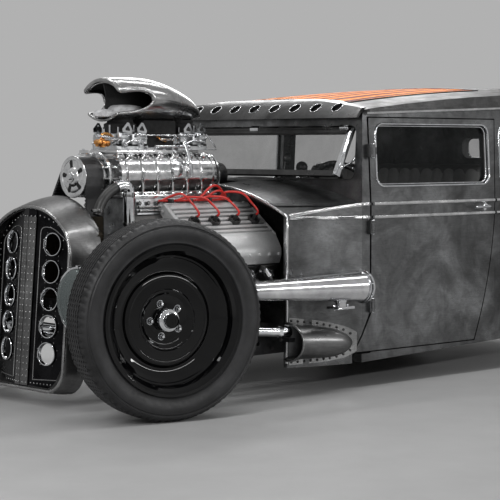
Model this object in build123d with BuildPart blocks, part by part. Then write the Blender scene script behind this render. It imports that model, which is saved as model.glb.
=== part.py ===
from build123d import *
import math
import os

# Hot rod: a chopped and channelled two-door sedan body over a bare frame, with an open
# supercharged V8, a riveted grille in a polished shell, and lakes pipes along the cowl.
# X points forward, Y to the left, Z up. The origin is on the ground, in the middle of the
# box round the four tyres. A station is a distance behind the front axle. Millimetres.

# Driving dimensions.
WHEELBASE = 2690
FRONT_TYRE_R = 355
FRONT_TYRE_W = 160
FRONT_RIM_R = 265
REAR_TYRE_R = 385
REAR_TYRE_W = 240
REAR_RIM_R = 235
SHOULDER = 35
KINGPIN_Y = 600
HUB_OFFSET = 90
REAR_TYRE_Y = 800
STEER = 14

SHUT_GAP = 5
POST_CLEAR = 4
WALL = 45
COWL_WALL = 20
ROOF_WALL = 40
SEAT_CLEAR = 0.3
RUNNING_CLEAR = 0.05

COWL_FRONT = 780
FIREWALL = 960
SCREEN = 1060
DOOR_FRONT = 1108
DOOR_TOE = 1022
DOOR_KNEE = 300
DOOR_REAR = 1862
DOOR_BOTTOM = 141
DOOR_TOP = 1081
BODY_REAR = 2930
BODY_BOTTOM = 93
BODY_BOTTOM_RISE = 0.037
BELT_LOW = 681
BELT_HIGH = 734
BEAD = 7
COWL_FRONT_Y = 487
SCREEN_Y = 626
PILLAR_Y = 655
REAR_Y = 640
TUMBLE = 20

ROOF_R = 11800
ROOF_APEX = 2556
ROOF_TOP = 1237
ROOF_CROWN_R = 5000
REAR_CORNER = 280
DRIP_FRONT_Z = 1098
DRIP_RISE = 0.037

WINDOW_LOW = 806
WINDOW_HIGH = 1050
WINDOW_FRONT = 1150
WINDOW_REAR = 1828
QUARTER_FRONT = 1908
QUARTER_REAR = 2470
WINDOW_CORNER = 38

HINGE_Y = 640
HINGE_R = 9
HINGE_HEIGHTS = (945, 642, 330)

RAIL_Y = 400
RAIL_W = 50
RAIL_LOW = 146
RAIL_HIGH = 236
FRAME_REAR = 2850
KICK_LOW = 500
KICK_HIGH = 580

ENGINE_CRANK_Z = 300
ENGINE_FRONT = 255
ENGINE_REAR = 850
BLOWER_AXIS_Z = 845
BLOWER_FRONT = 215
BLOWER_REAR = 780
SNOUT_R = 80
PULLEY_R = 74
PULLEY_FACE = 104
BELT_W = 84

GRILLE_BASE_X = 158
GRILLE_LEAN = 4.6
GRILLE_V = 10
GRILLE_HOLE_R = 40
GRILLE_PITCH = 102

STEER_RAD = math.radians(STEER)
FRONT_OVERHANG = (
    (FRONT_TYRE_R - SHOULDER) * math.cos(STEER_RAD)
    + (FRONT_TYRE_W / 2 - SHOULDER + HUB_OFFSET) * math.sin(STEER_RAD)
    + SHOULDER
)
FRONT_AXLE_X = (WHEELBASE + REAR_TYRE_R - FRONT_OVERHANG) / 2
REAR_AXLE_X = FRONT_AXLE_X - WHEELBASE
WIDE = 1000
HIGH = 1400

pieces = {}


def sx(station):
    """X of a station, a distance behind the front axle."""
    return FRONT_AXLE_X - station


def side_plane(y):
    """Plane seen from the right, local x forward and local y up, at a given Y."""
    return Plane(origin=(0, y, 0), x_dir=(1, 0, 0), z_dir=(0, -1, 0))


def front_plane(station):
    """Cross section at a station, local x to the left and local y up."""
    return Plane(origin=(sx(station), 0, 0), x_dir=(0, 1, 0), z_dir=(1, 0, 0))


def keep(name, part):
    """Label a finished piece and keep it for export."""
    part.label = name
    pieces[name] = part


# Outlines of the body.


def body_plan(inset):
    """Plan outline of the body behind the windscreen."""
    front = sx(SCREEN + inset)
    pillar = sx(DOOR_REAR)
    rear = sx(BODY_REAR - inset)
    turn = rear + REAR_CORNER
    half = REAR_Y - inset
    mid = REAR_CORNER * (1 - math.sqrt(0.5))
    with BuildSketch() as plan:
        with BuildLine():
            Line((front, inset - SCREEN_Y), (front, SCREEN_Y - inset))
            for side in (1, -1):
                Line((front, side * (SCREEN_Y - inset)), (pillar, side * (PILLAR_Y - inset)))
                Line((pillar, side * (PILLAR_Y - inset)), (turn, side * half))
                ThreePointArc(
                    (turn, side * half),
                    (rear + mid, side * (half - mid)),
                    (rear, side * (half - REAR_CORNER)),
                )
            Line((rear, half - REAR_CORNER), (rear, REAR_CORNER - half))
        make_face()
    return plan.sketch


def roof_cap(drop):
    """Everything below the roof skin, which is crowned both ways, lowered by drop."""
    axis_z = ROOF_TOP - ROOF_R
    top = ROOF_R - drop
    with BuildPart(mode=Mode.PRIVATE) as cap:
        with BuildSketch(front_plane(ROOF_APEX)) as section:
            with BuildLine():
                edge_z = axis_z + top - WIDE**2 / (2 * ROOF_CROWN_R)
                ThreePointArc((-WIDE, edge_z), (0, axis_z + top), (WIDE, edge_z))
                Polyline((WIDE, edge_z), (WIDE, -300), (-WIDE, -300), (-WIDE, edge_z))
            make_face()
        revolve(axis=Axis((sx(ROOF_APEX), 0, axis_z), (0, 1, 0)), revolution_arc=10)
        revolve(section.sketch, Axis((sx(ROOF_APEX), 0, axis_z), (0, 1, 0)), -10)
    return cap.part


def body_block(inset):
    """Solid body behind the screen, straight to the belt and leaning in above it."""
    with BuildPart(mode=Mode.PRIVATE) as block:
        with BuildSketch(Plane.XY.offset(-100)):
            add(body_plan(inset))
        extrude(amount=100 + BELT_HIGH)
        with BuildSketch(Plane.XY.offset(BELT_HIGH)):
            add(body_plan(inset))
        with BuildSketch(Plane.XY.offset(HIGH)):
            add(body_plan(inset + TUMBLE * (HIGH - BELT_HIGH) / (DOOR_TOP - BELT_HIGH)))
        loft(ruled=True)
    return block.part


def side_prism(points, reach=WIDE):
    """Prism right across the car over a side outline of (station, height) points."""
    with BuildPart(mode=Mode.PRIVATE) as prism:
        with BuildSketch(side_plane(reach)):
            with BuildLine():
                Polyline([(sx(s), z) for s, z in points], close=True)
            make_face()
        extrude(amount=2 * reach, dir=(0, -1, 0))
    return prism.part


def window_prism(front, rear, low, high, corner):
    """Rounded window opening, cut right across the car."""
    with BuildPart(mode=Mode.PRIVATE) as prism:
        with BuildSketch(side_plane(WIDE)):
            with Locations((sx((front + rear) / 2), (low + high) / 2)):
                RectangleRounded(rear - front, high - low, corner)
        extrude(amount=2 * WIDE, dir=(0, -1, 0))
    return prism.part


def door_prism(gap):
    """Side outline of a door, drawn in by gap, its rear edge swept forward at the foot."""
    front = sx(DOOR_FRONT + gap)
    toe = sx(DOOR_TOE + gap)
    knee = DOOR_KNEE - gap
    top = DOOR_TOP - gap
    low = DOOR_BOTTOM + gap
    with BuildPart(mode=Mode.PRIVATE) as prism:
        with BuildSketch(side_plane(WIDE)):
            with BuildLine():
                Polyline((front, knee), (front, top), (sx(DOOR_REAR + 18 - gap), top))
                Line((sx(DOOR_REAR + 18 - gap), top), (sx(DOOR_REAR - gap), 640))
                ThreePointArc(
                    (sx(DOOR_REAR - gap), 640), (sx(1822 - gap), 400), (sx(1738 - gap), low)
                )
                Polyline((sx(1738 - gap), low), (toe, low), (front, knee))
            make_face()
        extrude(amount=2 * WIDE, dir=(0, -1, 0))
    return prism.part


def cowl_section(station, half, side_top, crown, inset):
    """Cross section of the cowl: straight sides under an arched top."""
    w = half - inset
    with BuildSketch(front_plane(station)) as section:
        with BuildLine():
            ThreePointArc((w, side_top), (0, crown - inset), (-w, side_top))
            Polyline((-w, side_top), (-w, -100), (w, -100), (w, side_top))
        make_face()
    return section.sketch


COWL_SECTIONS = (
    # station, half width, top of the side, crown
    (COWL_FRONT, COWL_FRONT_Y, 690, 812),
    (920, 572, 715, 826),
    (SCREEN, SCREEN_Y, BELT_HIGH, 836),
)


def cowl_block(inset):
    """Solid cowl, widening from the engine bay to the screen."""
    with BuildPart(mode=Mode.PRIVATE) as block:
        for station, half, side_top, crown in COWL_SECTIONS:
            add(cowl_section(station, half, side_top, crown, inset))
        loft()
    return block.part


def slab(low, high):
    """Level slab through the whole car, between two heights."""
    return side_prism([(-800, low), (3600, low), (3600, high), (-800, high)])


def sill_z(station):
    """Height of the body's lower edge."""
    return BODY_BOTTOM + (station - COWL_FRONT) * BODY_BOTTOM_RISE


def drip_z(station):
    """Height of the drip rail, where the roof panel starts."""
    return DRIP_FRONT_Z + (station - DOOR_FRONT) * DRIP_RISE


under_body = side_prism([(0, -300), (3600, -300), (3600, sill_z(3600)), (0, sill_z(0))])
above_drip = side_prism([(0, drip_z(0)), (3600, drip_z(3600)), (3600, 2000), (0, 2000)])
ahead_of_door = side_prism(
    [
        (500, -300),
        (DOOR_TOE - POST_CLEAR, -300),
        (DOOR_TOE - POST_CLEAR, DOOR_BOTTOM - POST_CLEAR),
        (DOOR_FRONT - POST_CLEAR, DOOR_KNEE),
        (DOOR_FRONT - POST_CLEAR, 2000),
        (500, 2000),
    ]
)
beads = slab(BELT_LOW - 5, BELT_LOW + 5) + slab(BELT_HIGH - 5, BELT_HIGH + 5)

with BuildPart() as body_wall:
    add(body_block(0))
    add(body_block(-BEAD) & beads)
    add(roof_cap(0), mode=Mode.INTERSECT)
    add(body_block(WALL) & roof_cap(ROOF_WALL), mode=Mode.SUBTRACT)
    with BuildSketch(Plane.XY.offset(-200)):
        with Locations((sx(SCREEN), 0)):
            Rectangle(2.4 * WALL, 2 * (SCREEN_Y - WALL))
    extrude(amount=200 + BELT_HIGH, mode=Mode.SUBTRACT)
    with BuildSketch(front_plane(SCREEN - 100)):
        with Locations((0, (832 + 1046) / 2)):
            RectangleRounded(2 * (SCREEN_Y - 50), 1046 - 832, 30)
    extrude(amount=-200 - WALL, mode=Mode.SUBTRACT)
    add(under_body, mode=Mode.SUBTRACT)

with BuildPart() as cowl_wall:
    add(cowl_block(0))
    add(cowl_block(-BEAD) & beads)
    add(cowl_block(COWL_WALL), mode=Mode.SUBTRACT)
    add(under_body, mode=Mode.SUBTRACT)

# Shapes used often.


def rod(points, radius, bend=None):
    """Round bar along straight runs, joined by arcs of one radius."""
    with BuildPart(mode=Mode.PRIVATE) as bar:
        with BuildLine() as path:
            if bend:
                FilletPolyline(*points, radius=bend)
            else:
                Polyline(*points)
        with BuildSketch(Plane(origin=path.line @ 0, z_dir=path.line % 0)):
            Circle(radius)
        sweep(path=path.line)
    return bar.part


def cone(start, end, start_r, end_r):
    """Straight tapered bar between two points."""
    way = Vector(*end) - Vector(*start)
    with BuildPart(mode=Mode.PRIVATE) as bar:
        with BuildSketch(Plane(origin=start, z_dir=way)):
            Circle(start_r)
        with BuildSketch(Plane(origin=end, z_dir=way)):
            Circle(end_r)
        loft()
    return bar.part


def block(stations, ys, zs):
    """Box between two stations, two Y values and two heights."""
    with BuildPart(mode=Mode.PRIVATE) as body:
        with BuildSketch(Plane.XY.offset(zs[0])):
            with Locations((sx(sum(stations) / 2), sum(ys) / 2)):
                Rectangle(stations[1] - stations[0], ys[1] - ys[0])
        extrude(amount=zs[1] - zs[0])
    return body.part


def section_bar(points, front, rear):
    """Bar along the car with a cross section of (y, z) points."""
    with BuildPart(mode=Mode.PRIVATE) as bar:
        with BuildSketch(front_plane(front)):
            with BuildLine():
                Polyline(*points, close=True)
            make_face()
        extrude(amount=front - rear)
    return bar.part


# Body panels.

VISOR_HOLES = 9
VISOR_PITCH = 120
VISOR_T = 11


def visor_profile(points):
    """Brow over the screen: an outline whose first three points are one arc."""
    with BuildPart(mode=Mode.PRIVATE) as brow:
        with BuildSketch(side_plane(SCREEN_Y - 6)):
            with BuildLine():
                ThreePointArc(*[(sx(s), z) for s, z in points[:3]])
                Polyline(*[(sx(s), z) for s, z in points[2:] + points[:1]])
            make_face()
        extrude(amount=2 * (SCREEN_Y - 6), dir=(0, -1, 0))
    return brow.part


visor_outer = [(1030, 1076), (1072, 1123), (1165, 1159)]
visor_inner = [(1165, 1159 - VISOR_T), (1072 + 8, 1123 - VISOR_T), (1030 + VISOR_T, 1076)]

with BuildPart() as visor:
    add(visor_profile(visor_outer + [(1165, 1000), (1030, 1000)]))
    add(visor_profile(visor_inner + [(1030 + VISOR_T, 900), (1165, 900)]), mode=Mode.SUBTRACT)
    add(slab(1076, HIGH), mode=Mode.INTERSECT)
    add(roof_cap(-VISOR_T), mode=Mode.INTERSECT)
    hole_row = (VISOR_HOLES - 1) / 2
    for i in range(VISOR_HOLES):
        y = (i - hole_row) * VISOR_PITCH
        with BuildSketch(Plane(origin=(sx(1068), y, 1120), x_dir=(0, 1, 0), z_dir=(0.66, 0, 0.75))):
            Circle(27)
        extrude(amount=40, both=True, mode=Mode.SUBTRACT)
keep("visor", visor.part)

ahead_of_brow = visor_profile(visor_inner + [(900, 1076), (900, 1400), (1165, 1400)])

with BuildPart() as cowl:
    add(cowl_wall.part)
    add(body_wall.part)
    add(ahead_of_door, mode=Mode.INTERSECT)
    add(above_drip, mode=Mode.SUBTRACT)
    add(ahead_of_brow, mode=Mode.SUBTRACT)
    add(cowl_block(2) & block((FIREWALL, FIREWALL + 15), (-WIDE, WIDE), (RAIL_HIGH + SEAT_CLEAR, HIGH)))
    add(block((FIREWALL - 10, FIREWALL + 30), (-132, 132), (0, 412)), mode=Mode.SUBTRACT)
    with BuildSketch(front_plane(COWL_FRONT - 20)):
        with Locations((0, BLOWER_AXIS_Z)):
            Circle(SNOUT_R + 14)
    extrude(amount=-124, mode=Mode.SUBTRACT)
keep("cowl", cowl.part)

insert_area = block((1200, 2030), (-420, 420), (900, HIGH))
insert_plate = (roof_cap(-2) & insert_area) - (roof_cap(10) & insert_area)

with BuildPart() as roof:
    add(body_wall.part)
    add(above_drip, mode=Mode.INTERSECT)
    add(ahead_of_brow, mode=Mode.SUBTRACT)
    add(insert_plate, mode=Mode.SUBTRACT)
    for side in (1, -1):
        with BuildSketch(Plane(origin=(0, side * (SCREEN_Y - 8), 0), x_dir=(1, 0, 0), z_dir=(0, -side, 0))):
            with BuildLine():
                Polyline(
                    (sx(1075), side * (drip_z(1075) + 2)),
                    (sx(2300), side * (drip_z(2300) + 2)),
                    (sx(2300), side * (drip_z(2300) + 12)),
                    (sx(1075), side * (drip_z(1075) + 12)),
                    close=True,
                )
            make_face()
        extrude(amount=-34)
keep("roof", roof.part - visor.part)

with BuildPart() as roof_insert:
    add(insert_plate)
    add(ahead_of_brow, mode=Mode.SUBTRACT)
keep("roof_insert", roof_insert.part)

ARCH_R = 290
ARCH_IN = 525
post_gap = door_prism(-POST_CLEAR) & block((COWL_FRONT, DOOR_FRONT + 1), (-WIDE, WIDE), (0, DOOR_TOP))
with BuildPart() as body_shell:
    add(body_wall.part)
    add(ahead_of_door, mode=Mode.SUBTRACT)
    add(above_drip, mode=Mode.SUBTRACT)
    add(door_prism(0), mode=Mode.SUBTRACT)
    add(post_gap, mode=Mode.SUBTRACT)
    add(
        window_prism(QUARTER_FRONT, QUARTER_REAR, WINDOW_LOW, WINDOW_HIGH, WINDOW_CORNER),
        mode=Mode.SUBTRACT,
    )
    with BuildSketch(front_plane(BODY_REAR - 200)):
        with Locations((0, 954)):
            RectangleRounded(700, 100, 32)
    extrude(amount=-400, mode=Mode.SUBTRACT)
    for side in (1, -1):
        with BuildSketch(side_plane(side * WIDE)):
            with Locations((REAR_AXLE_X, REAR_TYRE_R)):
                Circle(ARCH_R)
        extrude(amount=WIDE - ARCH_IN, dir=(0, -side, 0), mode=Mode.SUBTRACT)

tail_seam = BODY_REAR - REAR_CORNER
keep("tail_panel", body_shell.part & block((tail_seam, 4000), (-WIDE, WIDE), (-200, HIGH)))
quarters = body_shell.part & block((COWL_FRONT, tail_seam), (-WIDE, WIDE), (-200, HIGH))

door_glass = window_prism(WINDOW_FRONT, WINDOW_REAR, WINDOW_LOW, WINDOW_HIGH, WINDOW_CORNER)
with BuildPart() as doors:
    add(body_wall.part)
    add(cowl_wall.part)
    add(door_prism(SHUT_GAP), mode=Mode.INTERSECT)
    add(door_glass, mode=Mode.SUBTRACT)


def half_space(side):
    """The left or the right half of everything."""
    return block((-900, 4000), sorted((0, side * WIDE)), (-200, HIGH))


HINGE_PIN_R = 4
HINGE_HALF = 14
HINGE_LUG = 26


def hinge_rod(low, high, radius):
    """Upright round bar on the left door's hinge line."""
    return cone((sx(DOOR_FRONT), HINGE_Y, low), (sx(DOOR_FRONT), HINGE_Y, high), radius, radius)


barrels = []
lugs = []
for height in HINGE_HEIGHTS:
    low = height - HINGE_HALF
    high = height + HINGE_HALF
    barrel = hinge_rod(low, high, HINGE_R)
    barrel += block((DOOR_FRONT, DOOR_FRONT + 18), (606, HINGE_Y + 3), (low, high))
    barrels.append(barrel - hinge_rod(low, high, HINGE_PIN_R + RUNNING_CLEAR))
    foot = height - HINGE_LUG
    head = height + HINGE_LUG
    lug = hinge_rod(foot, head, HINGE_R)
    lug += block((DOOR_FRONT - 16, DOOR_FRONT), (606, HINGE_Y + 3), (foot, head))
    lug -= block((DOOR_FRONT - 12, DOOR_FRONT + 20), (560, 700), (low - SEAT_CLEAR, high + SEAT_CLEAR))
    lugs.append(lug + hinge_rod(foot, head, HINGE_PIN_R))
hinge_lugs = lugs[0] + lugs[1] + lugs[2]
keep("cowl", cowl.part + hinge_lugs + mirror(hinge_lugs, about=Plane.XZ))

hinge_barrels = barrels[0] + barrels[1] + barrels[2]
hinge_barrels += mirror(hinge_barrels, about=Plane.XZ)
for name, side in (("left", 1), ("right", -1)):
    keep(f"door_{name}", (doors.part + hinge_barrels) & half_space(side))
    keep(f"quarter_panel_{name}", quarters & half_space(side))


def at(station, y, z):
    """Point given by its station."""
    return (sx(station), y, z)


def both_sides(left):
    """A left piece together with its mirror image on the right."""
    return left + mirror(left, about=Plane.XZ)


def upright(station, y, low, high, radius):
    """Upright round bar."""
    return rod([at(station, y, low), at(station, y, high)], radius)


# Glass and the swung-out screen.
GLASS_T = 5
GLASS_DEEP = 20

pane_layer = body_block(GLASS_DEEP) - body_block(GLASS_DEEP + GLASS_T)
for name, side in (("left", 1), ("right", -1)):
    keep(f"door_glass_{name}", pane_layer & door_glass & half_space(side))

quarter_window = window_prism(QUARTER_FRONT, QUARTER_REAR, WINDOW_LOW, WINDOW_HIGH, WINDOW_CORNER)
keep("quarter_glass", pane_layer & quarter_window)

with BuildPart() as rear_window:
    with BuildSketch(front_plane(BODY_REAR - 200)):
        with Locations((0, 954)):
            RectangleRounded(700, 100, 32)
    extrude(amount=-400)
keep("rear_glass", pane_layer & rear_window.part)

SCREEN_HINGE = (1076, 1033.7)
SCREEN_SWING = 26
SCREEN_HALF = 564
SCREEN_H = 212
SCREEN_BAR = 22
SCREEN_T = 18

swing = math.radians(SCREEN_SWING)
screen_plane = Plane(
    origin=at(SCREEN_HINGE[0], 0, SCREEN_HINGE[1]),
    x_dir=(0, 1, 0),
    z_dir=(math.cos(swing), 0, math.sin(swing)),
)
with BuildPart() as windscreen_glass:
    with BuildSketch(screen_plane):
        with Locations((0, -SCREEN_H / 2)):
            RectangleRounded(2 * (SCREEN_HALF - SCREEN_BAR), SCREEN_H - 2 * SCREEN_BAR, 14)
    extrude(amount=GLASS_T / 2, both=True)
keep("windscreen_glass", windscreen_glass.part)

with BuildPart() as windscreen_frame:
    with BuildSketch(screen_plane):
        with Locations((0, -SCREEN_H / 2)):
            RectangleRounded(2 * SCREEN_HALF, SCREEN_H, 26)
            RectangleRounded(
                2 * (SCREEN_HALF - SCREEN_BAR), SCREEN_H - 2 * SCREEN_BAR, 14, mode=Mode.SUBTRACT
            )
    extrude(amount=SCREEN_T / 2, both=True)
    add(rod([at(SCREEN_HINGE[0], -500, SCREEN_HINGE[1]), at(SCREEN_HINGE[0], 500, SCREEN_HINGE[1])], 12))
keep("windscreen_frame", windscreen_frame.part)

# Frame: two rails kicked up over the rear axle, drawn in to horns at the front.
HORN_FRONT = 45
HORN_Y = 250
HORN_LOW = 340
HORN_HIGH = 380
HORN_JOINT = 620
SPRING_TOP = 340
TIE_DOWN = 680
TIE_DOWN_R = 10

with BuildPart() as rail:
    with BuildSketch(side_plane(RAIL_Y)):
        with BuildLine():
            Polyline(
                (sx(HORN_JOINT), RAIL_LOW),
                (sx(2380), RAIL_LOW),
                (sx(2500), KICK_LOW),
                (sx(FRAME_REAR), KICK_LOW),
                (sx(FRAME_REAR), KICK_HIGH),
                (sx(2470), KICK_HIGH),
                (sx(2345), RAIL_HIGH),
                (sx(HORN_JOINT), RAIL_HIGH),
                close=True,
            )
        make_face()
    extrude(amount=RAIL_W / 2, both=True)
    with BuildSketch(front_plane(HORN_JOINT)):
        with Locations((RAIL_Y, (RAIL_LOW + RAIL_HIGH) / 2)):
            Rectangle(RAIL_W, RAIL_HIGH - RAIL_LOW)
    with BuildSketch(front_plane(HORN_FRONT)):
        with Locations((HORN_Y, (HORN_LOW + HORN_HIGH) / 2)):
            Rectangle(RAIL_W, HORN_HIGH - HORN_LOW)
    loft(ruled=True)
    add(block((380, 430), (150 + SEAT_CLEAR, 335), (210, 240)))
    add(block((735, 765), (RAIL_Y, 545), (202, 218)))

GEARBOX_BOTTOM = 200
frame = (
    both_sides(rail.part)
    + block((HORN_FRONT, 95), (-HORN_Y, HORN_Y), (SPRING_TOP, HORN_HIGH))
    + block((1230, 1290), (-RAIL_Y, RAIL_Y), (RAIL_LOW, GEARBOX_BOTTOM - SEAT_CLEAR))
    + block((2730, 2790), (-RAIL_Y, RAIL_Y), (540, KICK_HIGH))
    + block((FRAME_REAR - 50, FRAME_REAR), (-RAIL_Y, RAIL_Y), (KICK_LOW, 560))
)
tie_down_z = (RAIL_LOW + RAIL_HIGH) / 2
tie_down = rod(
    [at(TIE_DOWN, RAIL_Y - RAIL_W, tie_down_z), at(TIE_DOWN, RAIL_Y + RAIL_W, tie_down_z)],
    TIE_DOWN_R,
)
keep("frame", frame - both_sides(tie_down))

# Floor over the rails, with a tunnel, a bulkhead behind the seats and a deck over the axle.
FLOOR_HALF = 528
FLOOR_T = 8
FLOOR_FRONT = FIREWALL + 15 + SEAT_CLEAR
TUNNEL_HALF = 130
TUNNEL_TOP = 410
BULKHEAD = 2330
BULKHEAD_T = 10
DECK_Z = 690
low = RAIL_HIGH + SEAT_CLEAR

cabin_floor = section_bar(
    [
        (-FLOOR_HALF, low),
        (-TUNNEL_HALF, low),
        (-TUNNEL_HALF, TUNNEL_TOP),
        (TUNNEL_HALF, TUNNEL_TOP),
        (TUNNEL_HALF, low),
        (FLOOR_HALF, low),
        (FLOOR_HALF, low + FLOOR_T),
        (TUNNEL_HALF + FLOOR_T, low + FLOOR_T),
        (TUNNEL_HALF + FLOOR_T, TUNNEL_TOP + FLOOR_T),
        (-TUNNEL_HALF - FLOOR_T, TUNNEL_TOP + FLOOR_T),
        (-TUNNEL_HALF - FLOOR_T, low + FLOOR_T),
        (-FLOOR_HALF, low + FLOOR_T),
    ],
    FLOOR_FRONT,
    BULKHEAD,
)
bulkhead = block((BULKHEAD, BULKHEAD + BULKHEAD_T), (-WIDE, WIDE), (low, DECK_Z))
bulkhead -= block((BULKHEAD, BULKHEAD + BULKHEAD_T), (-TUNNEL_HALF, TUNNEL_HALF), (0, TUNNEL_TOP))
deck = block((BULKHEAD, BODY_REAR), (-WIDE, WIDE), (DECK_Z, DECK_Z + BULKHEAD_T))
floor_pan = cabin_floor + ((bulkhead + deck) & body_block(WALL + SEAT_CLEAR))
keep("floor_pan", floor_pan)

# Front axle: a dropped tube with bored kingpin bosses and spring perches.
AXLE_R = 27
AXLE_LOW_Z = 262
BOSS_R = 24
BOSS_HALF = 40
KINGPIN_R = 10
SPRING_END = 385

front_axle = rod(
    [
        (FRONT_AXLE_X, y, z)
        for y, z in (
            (-576, 345), (-470, 330), (-370, AXLE_LOW_Z), (370, AXLE_LOW_Z), (470, 330), (576, 345),
        )
    ],
    AXLE_R,
    60,
)
boss = upright(0, KINGPIN_Y, FRONT_TYRE_R - BOSS_HALF, FRONT_TYRE_R + BOSS_HALF, BOSS_R)
kingpin_bore = upright(0, KINGPIN_Y, 250, 450, KINGPIN_R + RUNNING_CLEAR)
perch = block((-15, 25), (355, 391), (255, 300)) + block((20, 95), (355, 391), (250, 273))
front_axle = front_axle + both_sides(boss) + both_sides(perch)
front_axle = front_axle - both_sides(kingpin_bore)
keep("front_axle", front_axle)

with BuildPart() as front_spring:
    with BuildSketch(front_plane(HORN_FRONT)):
        with BuildLine():
            crown = SPRING_TOP - SEAT_CLEAR
            foot = 273 + SEAT_CLEAR
            ThreePointArc((-SPRING_END, foot + 18), (0, crown), (SPRING_END, foot + 18))
            Line((SPRING_END, foot + 18), (SPRING_END, foot))
            ThreePointArc((SPRING_END, foot), (0, crown - 30), (-SPRING_END, foot))
            Line((-SPRING_END, foot), (-SPRING_END, foot + 18))
        make_face()
    extrude(amount=HORN_FRONT - 95)
keep("front_spring", front_spring.part)

# Chromed radius rods from the axle back to brackets ahead of the cowl.
radius_rod = rod([at(AXLE_R + 2, 421, 299), at(760, 520, 238)], 19)
keep("radius_rods", both_sides(radius_rod))

# Rear axle on coil springs and short arms.
AXLE_TUBE_R = 38
HUB_FACE = 650
rear_axle = rod([(REAR_AXLE_X, -HUB_FACE, REAR_TYRE_R), (REAR_AXLE_X, HUB_FACE, REAR_TYRE_R)], AXLE_TUBE_R)
rear_axle += Pos(REAR_AXLE_X, 0, REAR_TYRE_R) * Sphere(130)
rear_axle += cone(at(2560, 0, REAR_TYRE_R), (REAR_AXLE_X, 0, REAR_TYRE_R), 45, 90)
rear_axle += rod([(REAR_AXLE_X, -850, REAR_TYRE_R), (REAR_AXLE_X, 850, REAR_TYRE_R)], 20)
flange = rod([(REAR_AXLE_X, HUB_FACE, REAR_TYRE_R), (REAR_AXLE_X, HUB_FACE + 12, REAR_TYRE_R)], 125)
rear_axle += both_sides(flange)
rear_axle += both_sides(block((2690, 2795), (280, 320), (345, 360)))
keep("rear_axle", rear_axle)

coil = upright(2760, 300, 360 + SEAT_CLEAR, 540 - SEAT_CLEAR, 32)
arm = block((2466.3, WHEELBASE - AXLE_TUBE_R - SEAT_CLEAR), (385, 415), (372, 398))
keep("rear_suspension", both_sides(coil + arm))

# Bell housing, gearbox and propeller shaft.
driveline = cone(at(ENGINE_REAR + SEAT_CLEAR, 0, ENGINE_CRANK_Z), at(950, 0, ENGINE_CRANK_Z), 140, 110)
driveline += block((945, 1400), (-108, 108), (GEARBOX_BOTTOM, 395))
driveline += cone(at(1395, 0, ENGINE_CRANK_Z), at(2556.8, 0, REAR_TYRE_R), 35, 35)
keep("driveline", driveline)


def wheel_plane(centre, outward):
    """Radial section plane of a wheel: local x up, local y out along the axle."""
    return Plane(origin=centre, x_dir=(0, 0, 1), z_dir=Vector(0, 0, 1).cross(outward))


def tyre_solid(centre, outward, radius, width, barrel):
    """Tyre seated on a rim's barrel, with rounded shoulders and a flat tread."""
    half = width / 2
    corner = SHOULDER * math.sqrt(0.5)
    with BuildPart(mode=Mode.PRIVATE) as ring:
        with BuildSketch(wheel_plane(centre, outward)):
            with BuildLine():
                for side in (1, -1):
                    Polyline(
                        (barrel + SEAT_CLEAR, 0),
                        (barrel + SEAT_CLEAR, side * (half - 22)),
                        (barrel + 10, side * (half - 14)),
                        (barrel + 26, side * (half - 12.5)),
                    )
                    ThreePointArc(
                        (barrel + 26, side * (half - 12.5)),
                        ((barrel + 26 + radius - SHOULDER) / 2, side * (half - 3)),
                        (radius - SHOULDER, side * half),
                    )
                    ThreePointArc(
                        (radius - SHOULDER, side * half),
                        (radius - SHOULDER + corner, side * (half - SHOULDER + corner)),
                        (radius, side * (half - SHOULDER)),
                    )
                Line((radius, half - SHOULDER), (radius, SHOULDER - half))
            make_face()
        revolve(axis=Axis(centre, outward))
    return ring.part


def wheel_solid(centre, outward, barrel, half, dish, back, drum, bore, end):
    """Dished steel wheel with its brake drum, its hub bore and a long hub cap."""
    with BuildPart(mode=Mode.PRIVATE) as wheel:
        with BuildSketch(wheel_plane(centre, outward)):
            with BuildLine():
                Polyline(
                    (barrel, half - 21),
                    (barrel + 9.5, half - 13),
                    (barrel + 25, half - 12),
                    (barrel + 25, half - 4),
                    (barrel + 15, half - 4),
                    (barrel + 6, half - 8),
                    (barrel - 4, half - 18),
                    (barrel - 8, half - 28),
                    (barrel - 10, dish + 36),
                    (barrel - 18, dish + 30),
                )
                ThreePointArc((barrel - 18, dish + 30), (barrel - 45, dish + 8), (barrel - 72, dish + 4))
                Polyline(
                    (barrel - 72, dish + 4),
                    (barrel - 90, dish + 16),
                    (110, dish + 16),
                    (96, dish),
                    (40, dish),
                    (40, dish + 30),
                    (26, dish + 34),
                    (26, dish + 56),
                    (20, dish + 60),
                    (0, dish + 60),
                    (0, end),
                    (bore, end),
                    (bore, back),
                    (drum, back),
                    (drum, dish - 5),
                    (barrel - 72, dish - 6),
                    (barrel - 44, dish - 3),
                    (barrel - 16, dish + 20),
                    (barrel - 8, dish + 24),
                    (barrel - 8, 28 - half),
                    (barrel - 4, 18 - half),
                    (barrel + 6, 8 - half),
                    (barrel + 15, 4 - half),
                    (barrel + 25, 4 - half),
                    (barrel + 25, 12 - half),
                    (barrel + 9.5, 13 - half),
                    (barrel, 21 - half),
                    (barrel, half - 21),
                )
            make_face()
        revolve(axis=Axis(centre, outward))
    return wheel.part


# Steered front corners, left and right.
FRONT_BARREL = FRONT_RIM_R - 25
REAR_BARREL = REAR_RIM_R - 25
SPINDLE_R = 15
STUB_R = 20
EAR_R = 26
EAR_LOW = 297
EAR_HIGH = 413
EAR_T = 15
ARM_LENGTH = 150
ARM_INBOARD = 14
ARM_HALF = 14
TIE_ROD_Z = 200
TIE_ROD_R = 11
TIE_BOSS_LOW = 215

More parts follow.
